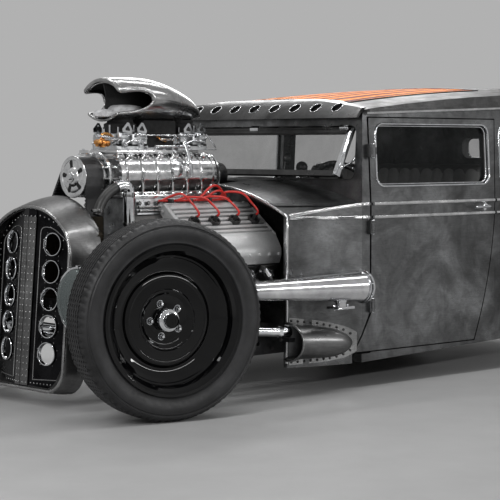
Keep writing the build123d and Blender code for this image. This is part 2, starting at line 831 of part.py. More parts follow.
for corner, side in (("left", 1), ("right", -1)):
    hub = Plane(
        origin=(FRONT_AXLE_X, side * KINGPIN_Y, 0),
        x_dir=(math.cos(STEER_RAD), -math.sin(STEER_RAD), 0),
        z_dir=(0, 0, 1),
    )
    outward = Vector(side * math.sin(STEER_RAD), side * math.cos(STEER_RAD), 0)
    centre = hub.from_local_coords(Vector(0, side * HUB_OFFSET, FRONT_TYRE_R))
    keep(
        f"tyre_front_{corner}",
        tyre_solid(centre, outward, FRONT_TYRE_R, FRONT_TYRE_W, FRONT_BARREL),
    )
    keep(
        f"wheel_front_{corner}",
        wheel_solid(
            centre, outward, FRONT_BARREL, FRONT_TYRE_W / 2, 0, -34, 135, SPINDLE_R + RUNNING_CLEAR, 36
        ),
    )
    with BuildPart() as knuckle:
        with BuildSketch(hub.offset(EAR_LOW - 2)):
            Circle(KINGPIN_R)
        extrude(amount=EAR_HIGH - EAR_LOW + 4)
        for low_z in (EAR_LOW, EAR_HIGH - EAR_T):
            with BuildSketch(hub.offset(low_z)):
                Circle(EAR_R)
                with Locations((0, side * 25)):
                    Rectangle(44, 50)
            extrude(amount=EAR_T)
        with BuildSketch(hub.offset(EAR_LOW)):
            with Locations((0, side * 39)):
                Rectangle(44, 22)
        extrude(amount=EAR_HIGH - EAR_LOW)
        arm_end = -side * ARM_INBOARD
        with BuildSketch(hub.offset(EAR_LOW)):
            with BuildLine():
                Polyline(
                    (0, ARM_HALF),
                    (-ARM_LENGTH, arm_end + ARM_HALF),
                    (-ARM_LENGTH, arm_end - ARM_HALF),
                    (0, -ARM_HALF),
                    close=True,
                )
            make_face()
            with Locations((-ARM_LENGTH, arm_end)):
                Circle(ARM_HALF)
        extrude(amount=EAR_T)
        with BuildSketch(hub.offset(TIE_BOSS_LOW)):
            with Locations((-ARM_LENGTH, arm_end)):
                Circle(12)
        extrude(amount=EAR_LOW - TIE_BOSS_LOW)
        spindle_from = hub.from_local_coords(Vector(0, side * 45, FRONT_TYRE_R))
        spindle_to = hub.from_local_coords(Vector(0, side * 125, FRONT_TYRE_R))
        add(rod([spindle_from, spindle_to], SPINDLE_R))
    keep(f"knuckle_{corner}", knuckle.part)

tie_ends = []
for side in (1, -1):
    tie_ends.append(
        (
            ARM_LENGTH * math.cos(STEER_RAD) + side * ARM_INBOARD * math.sin(STEER_RAD),
            side * KINGPIN_Y + ARM_LENGTH * math.sin(STEER_RAD) - side * ARM_INBOARD * math.cos(STEER_RAD),
        )
    )
tie_rod = rod([at(s, y, TIE_ROD_Z) for s, y in tie_ends], TIE_ROD_R)
for s, y in tie_ends:
    tie_rod += upright(s, y, TIE_ROD_Z - 14, TIE_BOSS_LOW - SEAT_CLEAR, 15)
keep("tie_rod", tie_rod)

for corner, side in (("left", 1), ("right", -1)):
    centre = (REAR_AXLE_X, side * REAR_TYRE_Y, REAR_TYRE_R)
    outward = Vector(0, side, 0)
    keep(
        f"tyre_rear_{corner}",
        tyre_solid(centre, outward, REAR_TYRE_R, REAR_TYRE_W, REAR_BARREL),
    )
    keep(
        f"wheel_rear_{corner}",
        wheel_solid(
            centre, outward, REAR_BARREL, REAR_TYRE_W / 2, 40, -131, 125, STUB_R + RUNNING_CLEAR, 51
        ),
    )

# Engine: a plain block with finned covers, a manifold and the blower on top.
MANIFOLD_TOP = 762
BLOWER_TOP = 948
BLOWER_HALF = 165
HEAD_OUT = (372, 498)
HEAD_IN = (165, 700)
VALLEY = (110, 602)

right_side = [(140, 190), (150, 200), (150, 335), (330, 452), HEAD_OUT, HEAD_IN, VALLEY]
left_side = [(-y, z) for y, z in reversed(right_side)]
engine = section_bar(right_side + left_side, ENGINE_FRONT, ENGINE_REAR)
engine += block((ENGINE_FRONT + 25, 455), (-105, 105), (135, right_side[0][1] + 1))
keep("engine_block", engine)

COVER_FRONT = 400
PLUGS = (470, 575, 682, 786)
cover = section_bar(
    [
        (HEAD_IN[0], HEAD_IN[1] + SEAT_CLEAR),
        (HEAD_OUT[0], HEAD_OUT[1] + SEAT_CLEAR),
        (384, 530),
        (382, 560),
        (350, 612),
        (186, 738),
        (166, 722),
    ],
    COVER_FRONT,
    ENGINE_REAR,
)
cover_way = Vector(0, 350 - 186, 612 - 738).normalized()
cover_out = Vector(0, 126, 164).normalized()
ribs = Plane(origin=at(COVER_FRONT, 186, 738), x_dir=cover_way, z_dir=(1, 0, 0))
with BuildPart(mode=Mode.PRIVATE) as rib_set:
    with BuildSketch(ribs):
        with GridLocations(25, 1, 7, 1):
            with Locations((105, 0)):
                Rectangle(9, 14)
    extrude(amount=COVER_FRONT + 12 - ENGINE_REAR + 12)
cover = cover + Pos(-12, 0, 0) * rib_set.part
for plug in PLUGS:
    base = Vector(*at(plug, 283, 664))
    cover = cover - rod([base - cover_out * 40, base + cover_out * 60], 17)
keep("valve_covers", both_sides(cover))

BLOWER_BOTTOM = MANIFOLD_TOP
BLOWER_FOOT_HIGH = 22
SNOUT_TIP_R, SNOUT_ROOT_R = 50, 62
CRANK_SNOUT_R = 25
NECK_Y, NECK_INLET_Y = 190, 185
NECK_LOW, NECK_TOP, NECK_RISE = 640, 800, 225
manifold = section_bar(
    [
        (-VALLEY[0], VALLEY[1] + SEAT_CLEAR),
        (VALLEY[0], VALLEY[1] + SEAT_CLEAR),
        (HEAD_IN[0] - 2, HEAD_IN[1] - 1),
        (150, MANIFOLD_TOP - SEAT_CLEAR),
        (-150, MANIFOLD_TOP - SEAT_CLEAR),
        (2 - HEAD_IN[0], HEAD_IN[1] - 1),
    ],
    290,
    780,
)
keep("intake_manifold", manifold)

blower = block((BLOWER_FRONT, BLOWER_REAR), (-148, 148), (BLOWER_BOTTOM, BLOWER_TOP))
blower += block((BLOWER_FRONT, BLOWER_REAR), (-BLOWER_HALF, BLOWER_HALF), (BLOWER_TOP - 16, BLOWER_TOP))
blower += block(
    (BLOWER_FRONT, BLOWER_REAR),
    (-BLOWER_HALF, BLOWER_HALF),
    (BLOWER_BOTTOM, BLOWER_BOTTOM + BLOWER_FOOT_HIGH),
)
for end_s in (BLOWER_FRONT, BLOWER_REAR - 20):
    blower += block((end_s, end_s + 20), (-BLOWER_HALF, BLOWER_HALF), (BLOWER_BOTTOM, BLOWER_TOP))
for i in range(6):
    rib_z = BLOWER_BOTTOM + 38 + 22 * i
    blower += block((BLOWER_FRONT, BLOWER_REAR), (-158, 158), (rib_z, rib_z + 8))
PULLEY_REAR = 192
snout_front = cone(
    at(PULLEY_REAR + SEAT_CLEAR, 0, BLOWER_AXIS_Z),
    at(BLOWER_FRONT + 5, 0, BLOWER_AXIS_Z),
    SNOUT_TIP_R,
    SNOUT_ROOT_R,
)
snout_rear = cone(at(BLOWER_REAR - 5, 0, BLOWER_AXIS_Z), at(870, 0, BLOWER_AXIS_Z), SNOUT_R, 58)
keep("blower", blower + snout_front + snout_rear)

CRANK_PULLEY_R = 75
IDLER = (-175, 610)
IDLER_R = 42
PULLEYS = ((0, BLOWER_AXIS_Z, PULLEY_R), (0, ENGINE_CRANK_Z, CRANK_PULLEY_R), (IDLER[0], IDLER[1], IDLER_R))
BELT_T = 6
PULLEY_LIP = 7
PULLEY_LIP_T = 1.7
pulleys = []
for y, z, radius in PULLEYS:
    pulley = rod([at(PULLEY_FACE, y, z), at(PULLEY_REAR, y, z)], radius)
    for s in (PULLEY_FACE, PULLEY_REAR - PULLEY_LIP_T):
        pulley += rod([at(s, y, z), at(s + PULLEY_LIP_T, y, z)], radius + PULLEY_LIP)
    pulleys.append(pulley)
pulleys[1] += rod(
    [at(PULLEY_REAR - 5, 0, ENGINE_CRANK_Z), at(ENGINE_FRONT - SEAT_CLEAR, 0, ENGINE_CRANK_Z)],
    CRANK_SNOUT_R,
)
pulleys[2] += rod([at(PULLEY_REAR - 5, *IDLER), at(ENGINE_FRONT - SEAT_CLEAR, *IDLER)], 14)
keep("pulleys", pulleys[0] + pulleys[1] + pulleys[2])


def belt_loop(out):
    """Taut loop round the three pulleys, standing off them by out."""
    with BuildPart(mode=Mode.PRIVATE) as loop:
        with BuildSketch(front_plane(PULLEY_FACE + 2)):
            with BuildLine():
                for y, z, radius in PULLEYS:
                    CenterArc((y, z), radius + out, 0, 360)
            make_hull()
        extrude(amount=-BELT_W)
    return loop.part


keep("blower_belt", belt_loop(SEAT_CLEAR + BELT_T) - belt_loop(SEAT_CLEAR))

CARBS = (337, 650)
CARB_TOP = 1048
carburetors = []
for s in CARBS:
    carb = block((s - 78, s + 78), (-75, 75), (BLOWER_TOP + SEAT_CLEAR, 966))
    carb += block((s - 62, s + 62), (-66, 66), (966, 1012))
    carb += upright(s, 0, 1010, CARB_TOP, 60)
    for end in (-1, 1):
        carb += block((s + end * 74 - 13, s + end * 74 + 13), (-60, 60), (966, 1008))
    carburetors.append(carb)
keep("carburetors", carburetors[0] + carburetors[1])

SCOOP_WALL = 8
SCOOP_SECTIONS = (
    # station, middle height, half height, half width
    (165, 1121, 50, 100),
    (250, 1141, 78, 132),
    (350, 1147, 85, 150),
    (460, 1145, 81, 150),
    (580, 1128, 64, 125),
    (670, 1106, 40, 88),
    (722, 1084, 10, 40),
)


def scoop_loft(inset):
    """Body of the scoop through its elliptical sections."""
    with BuildPart(mode=Mode.PRIVATE) as body:
        for s, z, high, wide in SCOOP_SECTIONS:
            with BuildSketch(front_plane(s)):
                with Locations((0, z)):
                    Ellipse(wide - inset, max(high - inset, 2))
        loft()
    return body.part


scoop_inner = scoop_loft(SCOOP_WALL)
scoop = scoop_loft(0)
for s in CARBS:
    scoop += upright(s, 0, CARB_TOP + SEAT_CLEAR, 1090, 66)
scoop -= scoop_inner
for s in CARBS:
    scoop -= upright(s, 0, 1000, 1090, 52)
scoop -= side_prism(
    [
        (90, 1082),
        (90, 1154),
        (154, 1163),
        (250, 1184),
        (332, 1183),
        (365, 1174),
        (384, 1158),
        (388, 1142),
        (372, 1119),
        (335, 1100),
        (271, 1090),
        (212, 1085),
    ]
)
keep("scoop", scoop.solids().sort_by(lambda solid: solid.volume)[-1])

DISTRIBUTOR_S = 815
distributor = upright(DISTRIBUTOR_S, 0, VALLEY[1] + SEAT_CLEAR, 692, 15)
distributor += upright(DISTRIBUTOR_S, 0, 690, 752, 33)
keep("distributor", distributor)

LOOM_Y = 176
LOOM_Z = 752
wires = rod([at(440, LOOM_Y, LOOM_Z), at(815, LOOM_Y, LOOM_Z), at(815, 34.2, 735)], 7, 20)
for plug in PLUGS:
    foot = Vector(*at(plug, 283, 664))
    wires += rod([foot - cover_out * 39.7, foot + cover_out * 48, at(plug + 10, LOOM_Y, LOOM_Z)], 4, 20)
keep("plug_wires", both_sides(wires))

neck = rod(
    [
        at(ENGINE_FRONT - SEAT_CLEAR, NECK_Y, NECK_LOW),
        at(NECK_RISE, NECK_Y, NECK_LOW),
        at(NECK_RISE, NECK_Y, NECK_TOP),
        at(110, NECK_INLET_Y, NECK_TOP),
        at(70, NECK_INLET_Y, 706),
    ],
    20,
    22,
)
keep("water_neck", neck)

# Grille: a deep shell round two pierced panels that meet in a shallow V.
SHELL_BASE_X = 152
SHELL_BOTTOM = 53
SHELL_DEPTH = 130
SHELL_WALL = 12
LEAN = math.radians(GRILLE_LEAN)


def shell_outline(back, half, side_top, crown, inset):
    """Outline of the shell, leaning back, at a depth behind its front edge."""
    plane = Plane(
        origin=(FRONT_AXLE_X + SHELL_BASE_X - back, 0, SHELL_BOTTOM),
        x_dir=(0, 1, 0),
        z_dir=(math.cos(LEAN), 0, math.sin(LEAN)),
    )
    w = half - inset
    corner = 95 - inset
    bow = corner * (1 - math.sqrt(0.5))
    top = side_top - SHELL_BOTTOM
    with BuildSketch(plane) as outline:
        with BuildLine():
            ThreePointArc((w, top), (0, crown - SHELL_BOTTOM - inset), (-w, top))
            Line((-w, top), (-w, inset + corner))
            ThreePointArc((-w, inset + corner), (bow - w, inset + bow), (corner - w, inset))
            Line((corner - w, inset), (w - corner, inset))
            ThreePointArc((w - corner, inset), (w - bow, inset + bow), (w, inset + corner))
            Line((w, inset + corner), (w, top))
        make_face()
    return outline.sketch


def shell_core(inset, run):
    """Solid inside the shell's skin at an inset, run past both ends."""
    slope = run / SHELL_DEPTH
    with BuildPart(mode=Mode.PRIVATE) as core:
        add(shell_outline(-run, 262 - 19 * slope, 613 - 22 * slope, 743 - 46 * slope, inset))
        add(shell_outline(SHELL_DEPTH + run, 281 + 19 * slope, 635 + 22 * slope, 789 + 46 * slope, inset))
        loft(ruled=True)
    return core.part


shell_inner = shell_core(SHELL_WALL, 20)
axle_room = side_prism([(32, 640), (-55, 330), (-70, -50), (600, -50), (600, 640)])
shell = (shell_core(0, 0) - shell_inner) - axle_room
keep("grille_shell", shell)

PANEL_T = 10
PANEL_V = math.radians(GRILLE_V)
ridge = (FRONT_AXLE_X + GRILLE_BASE_X - 6, 0, SHELL_BOTTOM)
RIDGE_HALF = 39
panel_core = shell_core(SHELL_WALL + SEAT_CLEAR, 60)


def panel_plane(side):
    """Front face of one grille panel: local x out from the ridge, local y up the lean."""
    out = Vector(
        -math.sin(PANEL_V) * math.cos(LEAN),
        side * math.cos(PANEL_V),
        -math.sin(PANEL_V) * math.sin(LEAN),
    )
    up = Vector(-math.sin(LEAN), 0, math.cos(LEAN))
    normal = Vector(side * out.cross(up).X, side * out.cross(up).Y, side * out.cross(up).Z)
    return Plane(origin=ridge, x_dir=(normal.cross(up)) * -1, z_dir=normal)


insert = []
for side in (1, -1):
    face = panel_plane(side)
    across = 1 if face.x_dir.Y * side > 0 else -1
    with BuildPart(mode=Mode.PRIVATE) as panel:
        with BuildSketch(face):
            with Locations((across * 150, 400)):
                Rectangle(300, 800)
        extrude(amount=-PANEL_T)
        with BuildSketch(face):
            with Locations((across * RIDGE_HALF / 2, 400)):
                Rectangle(RIDGE_HALF, 800)
        extrude(amount=4)
        with BuildSketch(face):
            with Locations(*[(across * 127, 141 + GRILLE_PITCH * i) for i in range(5)]):
                Circle(GRILLE_HOLE_R + 6)
        extrude(amount=4)
        with BuildSketch(face):
            with Locations(*[(across * 127, 141 + GRILLE_PITCH * i) for i in range(5)]):
                Circle(GRILLE_HOLE_R)
        extrude(amount=20, both=True, mode=Mode.SUBTRACT)
    insert.append(panel.part & half_space(side))
keep("grille_insert", (insert[0] + insert[1]) & panel_core)

# Radiator on the front crossmember, held to the shell by a bracket.
radiator = block((30, 80), (-215, 215), (HORN_HIGH + SEAT_CLEAR, 700))
radiator += block((0, 35), (-WIDE, WIDE), (625, 645)) & shell_core(SHELL_WALL + 0.8, 30)
keep("radiator", radiator)

# Headlights on stands off the frame horns.
LAMP_Y = 388
LAMP_Z = 410
LAMP_FRONT = -172
LAMP_SHOULDER = -95
LAMP_BACK = -62
LAMP_FOOT = -112
LAMP_R = 120
SHOULDER_R = 96
LENS_R = LAMP_R - 5
LENS_SEAT = 14
lamp = cone(at(LAMP_FRONT, LAMP_Y, LAMP_Z), at(LAMP_SHOULDER, LAMP_Y, LAMP_Z), LAMP_R, SHOULDER_R)
lamp += cone(at(LAMP_SHOULDER - 0.5, LAMP_Y, LAMP_Z), at(LAMP_BACK, LAMP_Y, LAMP_Z), SHOULDER_R, 45)
lamp += cone(
    at(LAMP_FOOT, LAMP_Y, LAMP_Z - SHOULDER_R + 8),
    at(LAMP_FOOT, LAMP_Y, LAMP_Z - SHOULDER_R - 28),
    30,
    16,
)
lamp += rod(
    [at(60, 250, 360), at(0, 285, 352), at(-60, 330, 325), at(LAMP_FOOT, LAMP_Y, LAMP_Z - SHOULDER_R - 18)],
    11,
    15,
)
lamp -= rod([at(LAMP_FRONT - 5, LAMP_Y, LAMP_Z), at(LAMP_FRONT + LENS_SEAT, LAMP_Y, LAMP_Z)], LENS_R)
lamp -= block((HORN_FRONT - SEAT_CLEAR, 100), (200, 300), (300, 400))
lens = rod(
    [at(LAMP_FRONT - 6, LAMP_Y, LAMP_Z), at(LAMP_FRONT + LENS_SEAT - SEAT_CLEAR, LAMP_Y, LAMP_Z)],
    LENS_R - SEAT_CLEAR,
)
keep("headlights", both_sides(lamp.solids().sort_by(lambda solid: solid.volume)[-1]))
keep("headlight_lenses", both_sides(lens))

# Lakes pipes along the cowl, fed by four headers a side.
PIPE_FRONT = (425, 660, 427)
PIPE_REAR = (983, 698, 415)
LANDINGS = (468, 545, 625, 700)
port_out = Vector(0, 0.738, -0.674)
pipe = cone(at(*PIPE_FRONT), at(*PIPE_REAR), 34, 59)
pipe += rod([at(*PIPE_REAR), at(PIPE_REAR[0] + 8, PIPE_REAR[1], PIPE_REAR[2])], 63)
for port, landing in zip(PLUGS, LANDINGS):
    start = Vector(*at(port, 351, 475)) + port_out * SEAT_CLEAR
    pipe += rod(
        [
            start,
            start + port_out * 62,
            at((port + landing) / 2 - 8, 470, 420),
            at(landing, 575, 420),
            at(landing - 4, 655, 424),
        ],
        20,
        24,
    )
stub = rod([at(866, 692, 400), at(866, 695, 344)], 22)
plate = block((820, 912), (665, 725), (337, 345))
keep("exhaust", both_sides(pipe + stub + plate))

# Blisters on the lower cowl over the ends of the radius rods.
BLISTER = (
    # station, y, z, half width, half height
    (760, 506, 198, 95, 76),
    (880, 566, 195, 76, 64),
    (965, 600, 190, 50, 44),
    (1005, 612, 188, 16, 14),
)


def blister_loft(inset):
    """Blister body through its elliptical sections."""
    with BuildPart(mode=Mode.PRIVATE) as body:
        for s, y, z, wide, high in BLISTER:
            with BuildSketch(front_plane(s)):
                with Locations((y, z)):
                    Ellipse(max(wide - inset, 3), max(high - inset, 3))
        loft()
    return body.part


blister = blister_loft(0) - blister_loft(6)
blister -= cowl_block(-SEAT_CLEAR)
blister -= block((600, 1000), (0, COWL_FRONT_Y), (0, 400))
blister = blister.solids().sort_by(lambda solid: solid.volume)[-1]
keep("blisters", both_sides(Part() + blister))

# Cabin.
COLUMN = (at(FLOOR_FRONT + 11, 300, 526), at(1325, 300, 737))
column_way = (Vector(*COLUMN[1]) - Vector(*COLUMN[0])).normalized()
DASH_FRONT = DOOR_FRONT - POST_CLEAR + SEAT_CLEAR
dashboard = block((DASH_FRONT, 1150), (-555, 555), (740, 812))
dashboard += rod(COLUMN, 18)
dashboard += block((1120, 1135), (288, 312), (610, 745))
keep("dashboard", dashboard)

WHEEL_R = 175
wheel_centre = Vector(*COLUMN[1]) + column_way * 12
wheel_face = Plane(origin=wheel_centre, x_dir=(0, 1, 0), z_dir=column_way)
with BuildPart() as steering_wheel:
    with BuildSketch(wheel_face):
        Circle(34)
        Rectangle(2 * WHEEL_R, 26)
        with Locations((0, -WHEEL_R / 2)):
            Rectangle(26, WHEEL_R)
    extrude(amount=3, both=True)
    with BuildSketch(wheel_face.offset(SEAT_CLEAR - 12)):
        Circle(34)
    extrude(amount=24)
    with BuildSketch(Plane(origin=wheel_centre, x_dir=(0, 1, 0), z_dir=wheel_face.y_dir)):
        with Locations((WHEEL_R, 0)):
            Circle(12)
    revolve(axis=Axis(wheel_centre, column_way))
keep("steering_wheel", steering_wheel.part)

CUSHION_Z = TUNNEL_TOP + FLOOR_T + SEAT_CLEAR
floor_top = low + FLOOR_T + SEAT_CLEAR
front_seat = block((1480, 1900), (-515, 515), (CUSHION_Z, 560))
front_seat += both_sides(block((1510, 1880), (150, 500), (floor_top, CUSHION_Z + 5)))
front_seat += side_prism([(1850, 500), (1975, 480), (2010, 860), (1960, 872), (1910, 850)], 515)
keep("front_seat", front_seat)

rear_seat = block((2060, 2290), (-500, 500), (CUSHION_Z, 510))
rear_seat += block((2235, BULKHEAD - SEAT_CLEAR), (-500, 500), (CUSHION_Z, 860))
keep("rear_seat", rear_seat)

shifter = upright(1330, 0, CUSHION_Z, 440, 40)
shifter += rod([at(1330, 0, 430), at(1350, 0, 860)], 8)
shifter += Pos(*at(1351, 0, 872)) * Sphere(26)
keep("shifter", shifter)

tail_lamp = rod([at(BODY_REAR - 40, 430, 560), at(BODY_REAR + 22, 430, 560)], 36) - body_block(-SEAT_CLEAR)
keep("tail_lamps", both_sides(tail_lamp))

os.makedirs("parts", exist_ok=True)
for name, piece in pieces.items():
    export_step(piece, f"parts/{name}.step")
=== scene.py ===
import math

import bmesh
import bpy
from mathutils import Matrix, Vector


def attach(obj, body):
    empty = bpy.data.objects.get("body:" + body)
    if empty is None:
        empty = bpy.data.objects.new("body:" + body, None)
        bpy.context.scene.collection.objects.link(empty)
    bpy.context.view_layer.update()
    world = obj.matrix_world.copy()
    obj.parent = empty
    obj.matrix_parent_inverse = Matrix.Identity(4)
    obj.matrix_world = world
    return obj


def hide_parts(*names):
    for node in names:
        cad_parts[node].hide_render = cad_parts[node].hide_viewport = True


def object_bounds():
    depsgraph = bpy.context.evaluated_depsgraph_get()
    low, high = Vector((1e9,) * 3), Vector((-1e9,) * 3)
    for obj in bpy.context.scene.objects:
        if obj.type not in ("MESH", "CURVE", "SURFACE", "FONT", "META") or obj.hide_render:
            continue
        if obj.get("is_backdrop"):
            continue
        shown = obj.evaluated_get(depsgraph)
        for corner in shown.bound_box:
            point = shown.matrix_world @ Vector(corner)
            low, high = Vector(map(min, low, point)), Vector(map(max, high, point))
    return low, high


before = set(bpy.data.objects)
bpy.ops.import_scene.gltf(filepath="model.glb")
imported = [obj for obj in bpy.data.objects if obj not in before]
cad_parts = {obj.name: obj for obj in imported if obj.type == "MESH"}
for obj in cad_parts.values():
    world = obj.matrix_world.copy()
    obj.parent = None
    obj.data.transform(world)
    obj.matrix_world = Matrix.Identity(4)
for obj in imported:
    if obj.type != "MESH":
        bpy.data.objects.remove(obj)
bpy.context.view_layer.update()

AXLE_X = 1348.42
STEER = math.radians(14)
CAR = "car"
ACROSS = Vector((0, 1, 0))
FORWARD = Vector((1, 0, 0))
UP = Vector((0, 0, 1))
SIDES = (("left", 1), ("right", -1))


def at(station, y, z):
    """Point in metres from a station behind the front axle, Y and Z in millimetres."""
    return Vector(((AXLE_X - station) / 1000, y / 1000, z / 1000))


def places(side, *points):
    """Points on the left (1) or right (-1) from (station, y, z) in millimetres."""
    return [at(s, side * y, z) for s, y, z in points]


# Materials.
def new_material(name):
    mat = bpy.data.materials.new(name)
    mat.use_nodes = True
    return mat, mat.node_tree, mat.node_tree.nodes["Principled BSDF"]


def node(tree, kind, **values):
    made = tree.nodes.new(kind)
    for key, value in values.items():
        if key in made.inputs:
            made.inputs[key].default_value = value
        else:
            setattr(made, key, value)
    return made


def feed(tree, made, **values):
    """Links or sets inputs of a node; an underscore in a keyword stands for a space."""
    for key, value in values.items():
        target = made.inputs[key.replace("_", " ")]
        if hasattr(value, "links"):
            tree.links.new(value, target)
        else:
            target.default_value = (*value, 1) if isinstance(value, tuple) else value


def coordinates(tree, scale=(1, 1, 1)):
    """Object coordinates, stretched."""
    source = tree.nodes.new("ShaderNodeTexCoord")
    mapping = tree.nodes.new("ShaderNodeMapping")
    mapping.inputs["Scale"].default_value = scale
    feed(tree, mapping, Vector=source.outputs["Object"])
    return mapping.outputs["Vector"]


def noise_value(tree, scale, detail=4, rough=0.55, stretch=(1, 1, 1), distortion=0.0):
    made = node(
        tree, "ShaderNodeTexNoise", Scale=scale, Detail=detail, Roughness=rough, Distortion=distortion,
    )
    feed(tree, made, Vector=coordinates(tree, stretch))
    return made.outputs["Fac"]


def grey(value):
    return (value, value, value)


def ramp(tree, value, *stops):
    """Colour ramp over a value; a stop is a place and a colour or grey level."""
    made = tree.nodes.new("ShaderNodeValToRGB")
    feed(tree, made, Fac=value)
    elements = made.color_ramp.elements
    while len(elements) < len(stops):
        elements.new(0.5)
    for element, (place, colour) in zip(elements, stops):
        element.position = place
        element.color = (*(colour if isinstance(colour, tuple) else grey(colour)), 1)
    return made.outputs["Color"]


def mix(tree, factor, one, two, kind="MIX"):
    made = node(tree, "ShaderNodeMix", data_type="RGBA", blend_type=kind)
    for socket, value in (("Factor", factor), ("A", one), ("B", two)):
        target = [i for i in made.inputs if i.name == socket and i.enabled][0]
        if hasattr(value, "links"):
            tree.links.new(value, target)
        elif isinstance(value, tuple):
            target.default_value = (*value, 1)
        else:
            target.default_value = value
    return [o for o in made.outputs if o.enabled][0]


def bump(tree, shader, height, strength, distance=0.001, before=None):
    made = node(tree, "ShaderNodeBump", Strength=strength, Distance=distance)
    feed(tree, made, Height=height)
    if before is not None:
        feed(tree, made, Normal=before)
    feed(tree, shader, Normal=made.outputs["Normal"])


def halfway(dark, light, share=2.0):
    return tuple((a + b) / share for a, b in zip(dark, light))


def metal(name, dark, light, rough, scale=9, grain=260, relief=0.08, stretch=(1, 1, 1), metallic=1.0):
    """Metal with broad patches, fine grain and uneven gloss."""
    mat, tree, shader = new_material(name)
    patches = noise_value(tree, scale, 6, 0.62, distortion=0.6)
    fine = noise_value(tree, grain, 3, 0.6, stretch)
    base = ramp(tree, patches, (0.30, dark), (0.52, halfway(dark, light)), (0.72, light))
    base = mix(tree, 0.16, base, ramp(tree, fine, (0.35, 0.0), (0.65, 1.0)), "OVERLAY")
    gloss = ramp(tree, patches, (0.3, rough[0]), (0.7, rough[1]))
    feed(tree, shader, Base_Color=base, Roughness=gloss, Metallic=metallic)
    bump(tree, shader, fine, relief, 0.0006)
    return mat


def bare_steel(name, dark, light, rough=(0.24, 0.46)):
    """Rubbed bare body steel: clouds of dark stain, sanding marks and small pits."""
    mat, tree, shader = new_material(name)
    clouds = noise_value(tree, 2.6, 8, 0.6, distortion=1.2)
    blots = noise_value(tree, 11, 6, 0.66, distortion=0.5)
    sanding = noise_value(tree, 90, 4, 0.6, (0.25, 1, 6))
    pits = noise_value(tree, 420, 2, 0.5)
    tone = ramp(tree, clouds, (0.30, dark), (0.50, halfway(dark, light, 2.2)), (0.70, light))
    tone = mix(tree, ramp(tree, blots, (0.42, 0.0), (0.62, 0.55)), tone, dark)
    tone = mix(tree, 0.22, tone, ramp(tree, sanding, (0.30, 0.1), (0.70, 0.9)), "OVERLAY")
    gloss = ramp(tree, blots, (0.32, rough[0]), (0.66, rough[1]))
    feed(tree, shader, Base_Color=tone, Roughness=gloss, Metallic=1.0)
    first = node(tree, "ShaderNodeBump", Strength=0.10, Distance=0.004)
    feed(tree, first, Height=clouds)
    bump(tree, shader, pits, 0.06, 0.0005, first.outputs["Normal"])
    return mat


def enamel(name, colour, rough=0.08, coat=0.6, dirt=0.25, shine=0.5, lift=0.035):
    """Glossy paint with faint dust and orange peel."""
    mat, tree, shader = new_material(name)
    dust = noise_value(tree, 24, 6, 0.7)
    fine = noise_value(tree, 140, 3, 0.5)
    tone = ramp(tree, dust, (0.45, colour), (0.80, tuple(min(1, c + lift) for c in colour)))
    gloss = ramp(tree, dust, (0.35, rough), (0.85, rough + dirt))
    feed(tree, shader, Base_Color=tone, Roughness=gloss, Specular_IOR_Level=shine)
    feed(tree, shader, Coat_Weight=coat, Coat_Roughness=0.04)
    bump(tree, shader, fine, 0.03, 0.0004)
    return mat


def matt(name, colour, rough=0.75, scale=60, strength=0.25, spread=0.3, shine=0.5):
    """Matt rubber, plastic or paint with a fine uneven surface."""
    mat, tree, shader = new_material(name)
    fine = noise_value(tree, scale, 6, 0.65)
    coarse = noise_value(tree, scale / 9, 4, 0.6)
    low = tuple(c * (1 - spread) for c in colour)
    high = tuple(min(1, c * (1 + spread) + 0.01) for c in colour)
    gloss = ramp(tree, fine, (0.3, rough - 0.12), (0.7, min(1, rough + 0.1)))
    feed(tree, shader, Base_Color=ramp(tree, coarse, (0.35, low), (0.65, high)), Roughness=gloss)
    feed(tree, shader, Specular_IOR_Level=shine)
    bump(tree, shader, fine, strength, 0.0008)
    return mat


def glass(name, tint, rough=0.02, alpha=0.18, metallic=0.0):
    """Thin glass with a faint film of dust."""
    mat, tree, shader = new_material(name)
    film = noise_value(tree, 6, 6, 0.7)
    feed(tree, shader, Base_Color=tint, IOR=1.45, Metallic=metallic)
    feed(tree, shader, Roughness=ramp(tree, film, (0.35, rough), (0.8, rough + 0.10)))
    feed(tree, shader, Alpha=ramp(tree, film, (0.35, alpha), (0.8, alpha + 0.07)))
    return mat


def flame_paint(name):
    """Dark roof paint with plain orange licks fading along the car."""
    mat, tree, shader = new_material(name)
    waves = node(tree, "ShaderNodeTexWave", Scale=1.3, Distortion=7.0, Detail=3.0, bands_direction="Y")
    feed(tree, waves, Vector=coordinates(tree, (0.55, 2.6, 1)))
    grain = noise_value(tree, 26, 6, 0.7)
    licks = ramp(
        tree, waves.outputs["Fac"], (0.16, (0.10, 0.02, 0.008)), (0.34, (0.62, 0.10, 0.012)),
        (0.80, (0.95, 0.30, 0.035)),
    )
    worn = mix(tree, ramp(tree, grain, (0.52, 0.0), (0.80, 0.6)), licks, (0.22, 0.06, 0.02))
    gloss = ramp(tree, grain, (0.3, 0.5), (0.7, 0.72))
    feed(tree, shader, Base_Color=worn, Roughness=gloss, Specular_IOR_Level=0.08)
    bump(tree, shader, grain, 0.08, 0.001)
    return mat


def leather(name, colour):
    """Hide with small cells and broad uneven tone."""
    mat, tree, shader = new_material(name)
    cells = node(tree, "ShaderNodeTexVoronoi", Scale=420.0)
    feed(tree, cells, Vector=coordinates(tree))
    broad = noise_value(tree, 14, 5, 0.6)
    tone = ramp(tree, broad, (0.3, tuple(c * 0.6 for c in colour)), (0.7, colour))
    feed(tree, shader, Base_Color=tone, Roughness=ramp(tree, broad, (0.3, 0.35), (0.7, 0.6)))
    bump(tree, shader, cells.outputs["Distance"], 0.25, 0.0008)
    return mat


